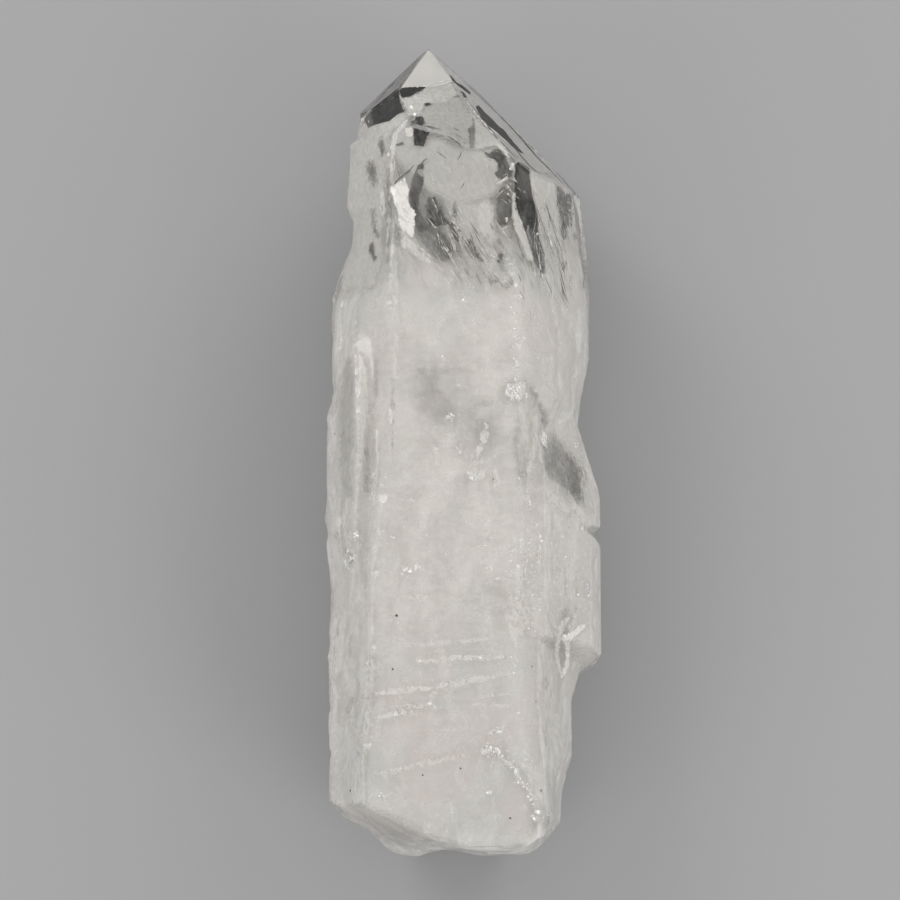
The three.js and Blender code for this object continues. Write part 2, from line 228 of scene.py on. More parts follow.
def etched_relief(material):
    """The tree that etches the prism faces, roughens the break and leaves the tip faces flat."""
    sizes = {"Flute depth": FLUTE_DEPTH, "Rib depth": RIB_DEPTH, "Pit depth": PIT_DEPTH,
             "Grain depth": GRAIN_DEPTH, "Break depth": BREAK_DEPTH, "Wear": EDGE_WEAR,
             "Fullness": FLANK_FULLNESS}
    tree, given = new_tree("etched relief", sizes)
    place = put(tree, "GeometryNodeInputPosition").outputs[0]
    normal = put(tree, "GeometryNodeInputNormal").outputs[0]
    in_mm = stretched(tree, place, (1 / MM,) * 3)
    facing = put(tree, "ShaderNodeSeparateXYZ", (normal,)).outputs
    along = put(tree, "ShaderNodeSeparateXYZ", (in_mm,)).outputs["Y"]
    tip, broken, etched, flank = kinds_of_face(tree, facing, along)
    pits = pit_marks(tree, in_mm)
    depth = etch_depth(tree, given, in_mm, broken, etched, flank, pits)
    moved = put(tree, "ShaderNodeVectorMath",
                (worn_place(tree, given, place, along, tip), pushed_in(tree, depth)),
                operation="ADD")
    parts = put(tree, "ShaderNodeSeparateXYZ", (moved.outputs[0],)).outputs
    level = number(tree, "MAXIMUM", parts["Z"], 0.0)
    settled = put(tree, "ShaderNodeCombineXYZ", (parts["X"], parts["Y"], level)).outputs[0]
    marks = {"etched": etched, "broken": broken, "hollow": hollow_by(tree, place, normal),
             "pitted": pits, "flank": flank}
    geometry = given["Geometry"]
    for label, value in marks.items():
        geometry = put(tree, "GeometryNodeStoreNamedAttribute",
                       {"Geometry": geometry, "Name": label, "Value": value}).outputs[0]
    shaped = put(tree, "GeometryNodeSetPosition", {"Geometry": geometry, "Position": settled})
    close_tree(tree, shaped.outputs[0], material)
    return tree


def new_material(name):
    """Starts a material, and returns it with its tree and the Principled shader in it."""
    material = bpy.data.materials.new(name)
    material.use_nodes = True
    tree = material.node_tree
    return material, tree, tree.nodes["Principled BSDF"]


def object_mm(tree):
    """The place on the piece in millimetres, for a pattern that stays on it."""
    place = put(tree, "ShaderNodeTexCoord").outputs["Object"]
    return put(tree, "ShaderNodeMapping", {"Vector": place, "Scale": (1 / MM,) * 3}).outputs[0]


def reads(tree, label):
    """A value that the mesh carries under this name."""
    return put(tree, "ShaderNodeAttribute", attribute_name=label).outputs["Fac"]


def mottling_group():
    """The soft blotches that every finish here shares, as a shader node group."""
    group = bpy.data.node_groups.new("mottling", "ShaderNodeTree")
    for label in ("Place", "Stretch"):
        group.interface.new_socket(label, in_out="INPUT", socket_type="NodeSocketVector")
    for label in ("Scale", "Detail", "Roughness", "Lean", "Low", "High", "Start", "End"):
        group.interface.new_socket(label, in_out="INPUT", socket_type="NodeSocketFloat")
    group.interface.new_socket("Mottle", in_out="OUTPUT", socket_type="NodeSocketFloat")
    given = group.nodes.new("NodeGroupInput").outputs
    noisy = cloudy(group, stretched(group, given["Place"], given["Stretch"]), given["Scale"],
                   given["Detail"], given["Roughness"], given["Lean"])
    blotches = ramp(group, noisy, given["Low"], given["High"], given["Start"], given["End"])
    put(group, "NodeGroupOutput", (blotches,))
    return group


def mottle(tree, place, low, high, start=0.0, end=1.0, stretch=(1, 1, 1), scale=1.0, detail=3.0,
           roughness=0.5, lean=0.0):
    """Places the mottling in a material: start where its noise is under low, end over high."""
    inputs = {"Place": place, "Stretch": stretch, "Scale": scale, "Detail": detail,
              "Roughness": roughness, "Lean": lean, "Low": low, "High": high, "Start": start,
              "End": end}
    return put(tree, "ShaderNodeGroup", inputs, node_tree=mottling).outputs["Mottle"]


def clear_quartz():
    """Glass that is polished on the tip and frosted where it is etched. Lamps shine through it."""
    material, tree, shader = new_material("clear_quartz")
    in_mm = object_mm(tree)
    uneven = number(tree, "MAXIMUM", reads(tree, "etched"), reads(tree, "broken"))
    patches = mottle(tree, in_mm, low=0.35, high=0.65, start=0.04, end=0.18, scale=0.22,
                     detail=4.0, roughness=0.6)
    fine = cloudy(tree, stretched(tree, in_mm, (1.0, 0.6, 1.0)), scale=3.0, detail=4.0,
                  roughness=0.6)
    bump = put(tree, "ShaderNodeBump", {"Strength": 0.35, "Distance": 0.05 * MM,
                                        "Height": number(tree, "MULTIPLY", fine, uneven)})
    roughness = number(tree, "ADD", number(tree, "MULTIPLY", patches, uneven), POLISHED)
    fill(tree, shader, {"Base Color": QUARTZ_TINT, "Transmission Weight": 1.0,
                        "IOR": QUARTZ_IOR, "Roughness": roughness, "Normal": bump.outputs[0]})
    path = put(tree, "ShaderNodeLightPath").outputs
    passing = number(tree, "MAXIMUM", path["Is Shadow Ray"], path["Is Diffuse Ray"])
    open_way = put(tree, "ShaderNodeBsdfTransparent", (SHADOW_TINT,)).outputs[0]
    both = put(tree, "ShaderNodeMixShader", (passing, shader.outputs[0], open_way))
    tree.links.new(both.outputs[0], tree.nodes["Material Output"].inputs["Surface"])
    return material


def made_plain(name, mesh, modifiers):
    """Runs a mesh through modifiers, given as (kind, settings, inputs), and returns the result."""
    holder = bpy.data.objects.new(name + "_raw", mesh)
    bpy.context.scene.collection.objects.link(holder)
    for kind, settings, sizes in modifiers:
        modifier = holder.modifiers.new(kind.title(), kind)
        for key, value in settings.items():
            setattr(modifier, key, value)
        if kind == "NODES":
            for item in modifier.node_group.interface.items_tree:
                if item.in_out == "INPUT" and item.name in sizes:
                    modifier[item.identifier] = sizes[item.name]
    graph = bpy.context.evaluated_depsgraph_get()
    plain = bpy.data.meshes.new_from_object(holder.evaluated_get(graph))
    bpy.data.objects.remove(holder)
    plain.name = name
    return plain


def reworked(mesh, change):
    """Opens a mesh, makes a change to its points and faces, and closes it again."""
    work = bmesh.new()
    work.from_mesh(mesh)
    change(work)
    work.to_mesh(mesh)
    work.free()
    return mesh


def weld(work):
    """Joins the loose triangles of a CAD mesh."""
    bmesh.ops.remove_doubles(work, verts=work.verts, dist=WELD_GAP)


def mend(work):
    """Opens the few places where two thin walls touch, and closes each hole with a new face."""
    for _ in range(MEND_ROUNDS):
        pinched = {v for e in work.edges if len(e.link_faces) != 2 for v in e.verts}
        bmesh.ops.delete(work, geom=list(pinched), context="VERTS")
        rims = [e for e in work.edges if e.is_boundary]
        filled = bmesh.ops.holes_fill(work, edges=rims, sides=0)["faces"]
        bmesh.ops.triangulate(work, faces=filled)
    turn_out(work)


def turn_out(work):
    """Turns every face outwards."""
    bmesh.ops.recalc_face_normals(work, faces=work.faces)


def ease(work):
    """Smooths the mesh where it folds back on itself, and nowhere else."""
    for _ in range(EASE_ROUNDS):
        folds = [e for e in work.edges if e.calc_face_angle(0.0) > FOLD_ANGLE]
        near = {v for e in folds for v in e.verts}
        for _ in range(EASE_REACH):
            near |= {e.other_vert(v) for v in near for e in v.link_edges}
        bmesh.ops.smooth_vert(work, verts=list(near), factor=0.5, use_axis_x=True,
                              use_axis_y=True, use_axis_z=True)
        work.normal_update()


def show(name, mesh):
    """Puts a finished mesh on show as a piece of the crystal."""
    piece = bpy.data.objects.new(name, mesh)
    bpy.context.scene.collection.objects.link(piece)
    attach(piece, "root")
    return piece


mottling = mottling_group()
cad_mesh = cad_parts["quartz_crystal"].data.copy()
cad_mesh.materials.clear()
recut = ("REMESH", {"mode": "SHARP", **FINE_CUT}, {})
relief = ("NODES", {"node_group": etched_relief(clear_quartz())}, {"Break depth": BREAK_DEPTH})
cut_mesh = reworked(made_plain("quartz_cut", reworked(cad_mesh, weld), [recut]), mend)
surface_mesh = reworked(made_plain("quartz_surface", cut_mesh, [relief]), ease)
surface_mesh.shade_smooth()
surface_mesh.set_sharp_from_angle(angle=CREASE_ANGLE)
surface = show("quartz_surface", surface_mesh)
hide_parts("quartz_crystal")

# Milky heart: the crystal grew cloudy below the tip, full of minute bubbles. It is one closed
# body of white haze that follows the surface from just under it, stands back behind the clear
# faces of the tip and the window on the right, and is streaked along the crystal.
HEART_AXIS = (-0.3, 11.6)
HEART_MIDDLE = -6.0
HEART_TOP = 20.0
HEART_BOTTOM = -33.0
RING_GAP = 0.4
RING_POINTS = 240
NOSE_RINGS = 40
FOOT_RINGS = 64
NOSE_REACH = 16.5
NOSE_SWAY = 2.5
NOSE_SWAY_SCALE = 2.1
STREAK_TURN = math.radians(-24)
SKIN_DEPTH = 0.4
SKIN_SWAY = 0.5
SKIN_SWAY_SCALE = 0.22
LEAST_DEPTH = 0.15
TIP_DEPTH = 1.3
TIP_DEPTH_FROM = 13
TIP_DEPTH_RISE = 8
TIP_DEPTH_CURVE = 1.5
# Each row is the middle of a place where the haze stands back, its reach and how far back
CLEAR_WINDOWS = [((13.5, -3.0, 14.0), 6.5, 3.5), ((13.0, 26.5, 12.5), 5.5, 2.0)]
# Each row is the middle of a greyer cloud and its size; the last, at the base, is painted shade
GREY_CLOUDS_AND_PAINTED_SHADE = [((-2.4, 3.2, 22.0), (4.2, 5.0, 3.0)), ((1.4, -1.6, 22.0), (3.2, 4.2, 3.0)),
               ((-6.0, -43.5, 18.0), (8.0, 3.4, 6.0))]
DULL_WHITE = (0.66, 0.64, 0.618, 1)
BRIGHT_WHITE = (0.915, 0.888, 0.86, 1)
ROSY_WHITE = (0.735, 0.70, 0.68, 1)
GREENISH_WHITE = (0.70, 0.705, 0.678, 1)
CLOUD_AND_SHADE_GREY = (0.56, 0.545, 0.52, 1)
# How strongly each of these shows
DRIFT_SHARE = 0.5
STREAK_SHARE = 0.15
MARBLE_SHARE = 0.35
CLOUD_SHARE = 0.45
THIN_SHARE = 0.4
# How far from the heart's middle its tints come in, and where along the crystal it thins out
# and ends, in millimetres
TINT_FROM = (10.0, 26.0)
THIN_FROM = (13.0, 21.0)
NOSE_FROM = (37.0, 31.0)


def heart_rays():
    """Where each ring of the heart is cast from along Y, and its angle from the tip end."""
    rays = [(HEART_TOP, angle) for angle in np.linspace(0, 90, NOSE_RINGS)[1:]]
    steps = int((HEART_TOP - HEART_BOTTOM) / RING_GAP)
    rays += [(y, 90) for y in np.linspace(HEART_TOP, HEART_BOTTOM, steps)[1:]]
    rays += [(HEART_BOTTOM, angle) for angle in np.linspace(90, 180, FOOT_RINGS)[1:-1]]
    return rays


def heart_depth(point):
    """How far under the surface the haze starts, in millimetres."""
    uneven = 1 + SKIN_SWAY * noise.noise(Vector(point) * SKIN_SWAY_SCALE)
    rise = max(0.0, min(1.0, (point[1] - TIP_DEPTH_FROM) / TIP_DEPTH_RISE))
    depth = SKIN_DEPTH * uneven + TIP_DEPTH * rise ** TIP_DEPTH_CURVE
    for centre, reach, most in CLEAR_WINDOWS:
        nearness = max(0.0, 1 - (Vector(point) - Vector(centre)).length / reach)
        depth += most * nearness
    return depth


def neighbours(grid):
    """The grid shifted one step each way: round the rings, and towards both ends."""
    up = np.vstack([grid[:1], grid[:-1]])
    down = np.vstack([grid[1:], grid[-1:]])
    return np.roll(grid, 1, axis=1), np.roll(grid, -1, axis=1), up, down


def smoothed(grid, passes):
    """Evens a grid of radii out."""
    for _ in range(passes):
        grid = grid / 2 + sum(neighbours(grid)) / 8
    return grid


def shape_tree(mesh):
    """A search tree of a mesh, for rays and nearest points."""
    return BVHTree.FromPolygons([v.co[:] for v in mesh.vertices],
                                [p.vertices[:] for p in mesh.polygons])


def cast_rings():
    """Casts rings of rays from the axis: each one's start, way and reach, and the haze's depth."""
    rays = heart_rays()
    reach = np.zeros((len(rays), RING_POINTS))
    depth = np.zeros_like(reach)
    starts, ways = [], []
    for row, (along, polar) in enumerate(rays):
        start = Vector((HEART_AXIS[0], along, HEART_AXIS[1]))
        out, up = math.sin(math.radians(polar)), math.cos(math.radians(polar))
        for column in range(RING_POINTS):
            turn = 2 * math.pi * column / RING_POINTS
            way = Vector((out * math.cos(turn), up, out * math.sin(turn)))
            distance = outside.ray_cast(start * MM, way)[3] / MM
            hit = start + way * distance
            if along == HEART_TOP and polar < 90:
                sway = noise.noise(way * NOSE_SWAY_SCALE) * NOSE_SWAY
                distance = min(distance, NOSE_REACH + sway)
            reach[row, column] = distance
            depth[row, column] = heart_depth(hit)
            starts.append(start)
            ways.append(way)
    return starts, ways, reach, depth


def ring_faces(rings, crown, foot):
    """Faces from ring to ring, and a fan from the crown and the foot to the first and last."""
    faces = []
    last = (rings - 1) * RING_POINTS
    for column in range(RING_POINTS):
        after = (column + 1) % RING_POINTS
        for first in range(0, last, RING_POINTS):
            a, b = first + column, first + after
            faces.append((a, b, b + RING_POINTS, a + RING_POINTS))
        faces.append((crown, after, column))
        faces.append((foot, last + column, last + after))
    return faces


def heart_mesh():
    """The haze as one closed body, laid just inside the surface."""
    starts, ways, reach, depth = cast_rings()
    worn = np.minimum(reach, np.minimum.reduce(neighbours(reach)))
    inner = np.minimum(smoothed(worn, 1) - smoothed(depth, 4), worn - LEAST_DEPTH).ravel()
    points = [s + w * r for s, w, r in zip(starts, ways, inner)]
    ends = [points[:RING_POINTS], points[-RING_POINTS:]]
    caps = [sum(ring, Vector()) / RING_POINTS for ring in ends]
    faces = ring_faces(len(reach), len(points), len(points) + 1)
    mesh = bpy.data.meshes.new("milky_heart")
    mesh.from_pydata([p * MM for p in points + caps], [], faces)
    reworked(mesh, turn_out)
    mesh.shade_smooth()
    return mesh


def patch(tree, in_mm, centre, size):
    """1 inside an egg-shaped patch round a point, and 0 outside it, with a soft edge."""
    local = put(tree, "ShaderNodeMapping", {"Vector": in_mm, "Location": centre, "Scale": size},
                vector_type="TEXTURE").outputs[0]
    away = put(tree, "ShaderNodeVectorMath", (local,), operation="LENGTH").outputs["Value"]
    return ramp(tree, away, low=1.15, high=0.45)


def haze_colour(tree, in_mm, along):
    """White, faint streaks and marbling, rosy and greenish at the ends, grey clouds, painted shade.
    """
    drifts = mottle(tree, in_mm, low=0.34, high=0.66, stretch=(0.22, 0.12, 0.22), detail=6.0,
                    roughness=0.6, lean=0.8)
    streaks = mottle(tree, in_mm, low=0.34, high=0.66, stretch=(0.8, 0.07, 0.8), detail=4.0)
    marbled = mottle(tree, in_mm, low=0.36, high=0.64, stretch=(0.5, 0.9, 0.5), detail=6.0,
                     roughness=0.7, lean=1.2)
    mixed = number(tree, "MULTIPLY", drifts, DRIFT_SHARE)
    for pattern, share in ((streaks, STREAK_SHARE), (marbled, MARBLE_SHARE)):
        mixed = number(tree, "MULTIPLY_ADD", pattern, share, mixed)
    white = blended(tree, mixed, DULL_WHITE, BRIGHT_WHITE)
    hue = mottle(tree, in_mm, low=0.42, high=0.6, scale=0.13, detail=2.0)
    tinted = blended(tree, hue, ROSY_WHITE, GREENISH_WHITE)
    ends = number(tree, "ABSOLUTE", number(tree, "SUBTRACT", along, HEART_MIDDLE))
    colour = blended(tree, ramp(tree, ends, *TINT_FROM, start=0.25, end=0.8), white, tinted)
    uneven = mottle(tree, in_mm, low=0.3, high=0.7, start=0.5, scale=0.7, detail=5.0,
                    roughness=0.65)
    # The last grey cloud is painted shade on the break at the base.
    for centre, size in GREY_CLOUDS_AND_PAINTED_SHADE:
        grey = number(tree, "MULTIPLY", patch(tree, in_mm, centre, size), uneven)
        grey = number(tree, "MULTIPLY", grey, CLOUD_SHARE)
        colour = blended(tree, grey, colour, CLOUD_AND_SHADE_GREY)
    return colour


def haze_cover(tree, in_mm, along):
    """How dense the haze is: ragged and thin towards the tip, with a wispy end."""
    turned = put(tree, "ShaderNodeMapping", {"Vector": in_mm, "Rotation": (0, 0, STREAK_TURN)})
    ragged = mottle(tree, turned.outputs[0], low=0.4, high=0.62, stretch=(0.8, 0.22, 0.8),
                    detail=5.0, roughness=0.65, lean=0.5)
    thin = number(tree, "MULTIPLY", ramp(tree, along, *THIN_FROM), ragged)
    wisps = mottle(tree, in_mm, low=0.3, high=0.7, start=-3.0, end=3.0, scale=0.35, detail=5.0,
                   roughness=0.6)
    nose = ramp(tree, number(tree, "ADD", along, wisps), *NOSE_FROM)
    dense = number(tree, "MULTIPLY_ADD", thin, -THIN_SHARE, 1.0)
    return number(tree, "MULTIPLY", dense, nose)


def milky_haze():
    """Haze that light sinks into and spreads through, as in milk."""
    material, tree, shader = new_material("milky_haze")
    in_mm = object_mm(tree)
    along = put(tree, "ShaderNodeSeparateXYZ", (in_mm,)).outputs["Y"]
    fill(tree, shader, {"Base Color": haze_colour(tree, in_mm, along), "Roughness": 0.8,
                        "Specular IOR Level": 0.0, "Subsurface Weight": 1.0,
                        "Subsurface Radius": (1.0, 0.95, 0.9), "Subsurface Scale": 5.0 * MM,
                        "Alpha": haze_cover(tree, in_mm, along)})
    return material


outside = shape_tree(surface_mesh)
heart_shape = heart_mesh()
heart_shape.materials.append(milky_haze())
heart = show("milky_heart", heart_shape)

# Frost: where the ground ate into the prism faces the quartz is shot with fine white cracks. It
# is a thin layer just under the etched surface, clear over the tip faces, and thickest in the
# hollows, along worn edges and on the break. At the very end of the break it is whiter still:
# painted light over the shade of its lower edge.
FROST_DEPTH = 0.1
FROST_DULL = (0.86, 0.85, 0.83, 1)
FROST_WHITE = (0.93, 0.92, 0.90, 1)
# How deep a hollow is, or how high an edge stands, before it is frosted, in millimetres
GROOVE_DEPTHS = (0.03, 0.16)
EDGE_HEIGHTS = (0.08, 0.24)
# Where along the crystal each of these comes in, in millimetres from its middle
GROOVE_FROM = (22.0, 12.0)
EDGE_FROM = (30.0, 16.0)
EDGE_TO = (-38.5, -36.5)
FLANK_FROM = (34.0, 20.0)
FINE_FROM = (24.0, 12.0)
LIP_PAINTED_LIGHT_FROM = (-42.5, -45.0)
# How white each kind of frost is
GROOVE_WHITE = 0.12
EDGE_WHITE = 0.22
PIT_WHITE = 0.2
BREAK_WHITE = 0.2
# Painted light: the extra white at the very end of the break, over the shade of its lower edge.
LIP_PAINTED_LIGHT = 0.45


def frost_layer_tree(material):
    """The tree that sets a copy of the surface a little way in."""
    tree, given = new_tree("frost layer", {"Depth": FROST_DEPTH})
    moved = put(tree, "GeometryNodeSetPosition",
                {"Geometry": given["Geometry"], "Offset": pushed_in(tree, given["Depth"])})
    close_tree(tree, moved.outputs[0], material)
    return tree


def frost_marks(tree, along, broken_up):
    """The frost of the hollows, the worn edges, the pits and the break, whichever is whitest."""
    hollow = reads(tree, "hollow")
    groove = number(tree, "MULTIPLY", ramp(tree, hollow, *GROOVE_DEPTHS),
                    ramp(tree, along, *GROOVE_FROM, start=0.3))
    edge = number(tree, "MULTIPLY",
                  ramp(tree, number(tree, "MULTIPLY", hollow, -1.0), *EDGE_HEIGHTS), broken_up)
    edge = number(tree, "MULTIPLY", edge, ramp(tree, along, *EDGE_TO))
    edge = number(tree, "MULTIPLY", edge, ramp(tree, along, *EDGE_FROM, start=0.2))
    pits = number(tree, "MULTIPLY", reads(tree, "pitted"), broken_up)
    whites = number(tree, "MULTIPLY", groove, GROOVE_WHITE)
    for mask, share in ((edge, EDGE_WHITE), (pits, PIT_WHITE),
                        (reads(tree, "broken"), BREAK_WHITE)):
        whites = number(tree, "MAXIMUM", whites, number(tree, "MULTIPLY", mask, share))
    return whites


def white_frost():
    """White cracked quartz, let through by its alpha: denser in hollows, a faint veil elsewhere."""
    material, tree, shader = new_material("white_frost")
    in_mm = object_mm(tree)
    along = put(tree, "ShaderNodeSeparateXYZ", (in_mm,)).outputs["Y"]
    broken_up = mottle(tree, in_mm, low=0.42, high=0.6, scale=1.1, detail=5.0, roughness=0.65)
    veil = mottle(tree, in_mm, low=0.42, high=0.66, end=0.3, stretch=(0.32, 0.2, 0.32), lean=0.8)
    whites = number(tree, "ADD", frost_marks(tree, along, broken_up), veil)
    flank = number(tree, "MULTIPLY", reads(tree, "flank"),
                   ramp(tree, along, *FLANK_FROM, start=0.25, end=0.5))
    whites = number(tree, "ADD", whites, flank)
    fine = mottle(tree, in_mm, low=0.54, high=0.68, end=0.24, stretch=(2.6, 1.8, 2.6),
                  detail=5.0, roughness=0.7)
    fine = number(tree, "MULTIPLY", fine, ramp(tree, along, *FINE_FROM, start=0.3))
    # Painted light over the shade of the break's lower edge.
    painted_lip_light = ramp(tree, along, *LIP_PAINTED_LIGHT_FROM, end=LIP_PAINTED_LIGHT)
    whites = number(tree, "ADD", number(tree, "ADD", whites, fine), painted_lip_light, clamp=True)
    uneven = number(tree, "MAXIMUM", reads(tree, "etched"), reads(tree, "broken"))
    fill(tree, shader, {"Base Color": blended(tree, broken_up, FROST_DULL, FROST_WHITE),
                        "Roughness": 0.55, "Specular IOR Level": 0.2,
                        "Alpha": number(tree, "MULTIPLY", whites, uneven)})
    return material


frost_shape = made_plain("frost", surface_mesh.copy(), [
    ("NODES", {"node_group": frost_layer_tree(white_frost())}, {"Depth": FROST_DEPTH})])
frost = show("frost", frost_shape)

# Films: healed cracks, painted darkness and painted reflections in the tip, behind the window on
# the right and in the ladder of steps near the base. Each is a sheet finer than a hair, up to a
# millimetre under the surface. The pale ones are bright where a crack has come apart, and a few
# under the upper tip face are painted reflections. The dark ones are mostly painted darkness:
# they paint the dark surroundings seen through the clear tip and the window, and painted shade
# on the break and down the left side. Three dark ones lie on the right tip face itself, which is
# seen nearly edge on, as painted dark reflections on that face.
FILM_GRID = 0.17
FILM_MARGIN = 0.25
FILM_BODY = 0.02
FILM_DISH = 0.4
FILM_DISH_SCALE = 0.35
FILM_DISH_STEP = 3.1
FILM_FRAY = 2.4
FILM_EDGE_OUTSIDE = 0.12
FILM_EDGE_INSIDE = 0.08
FILM_AND_PAINTED_SHADE_BLACK = (0.004, 0.0045, 0.004, 1)
FILM_AND_PAINTED_REFLECTION_WHITE = (1.0, 0.985, 0.95, 1)
DARK_MOTTLING = 0.22
PALE_MOTTLING = 0.5
BAND_SHADE = 0.99
BAND_SOFTNESS = 0.3
BAND_TIP = 0.4
CAST_HEIGHT = 60
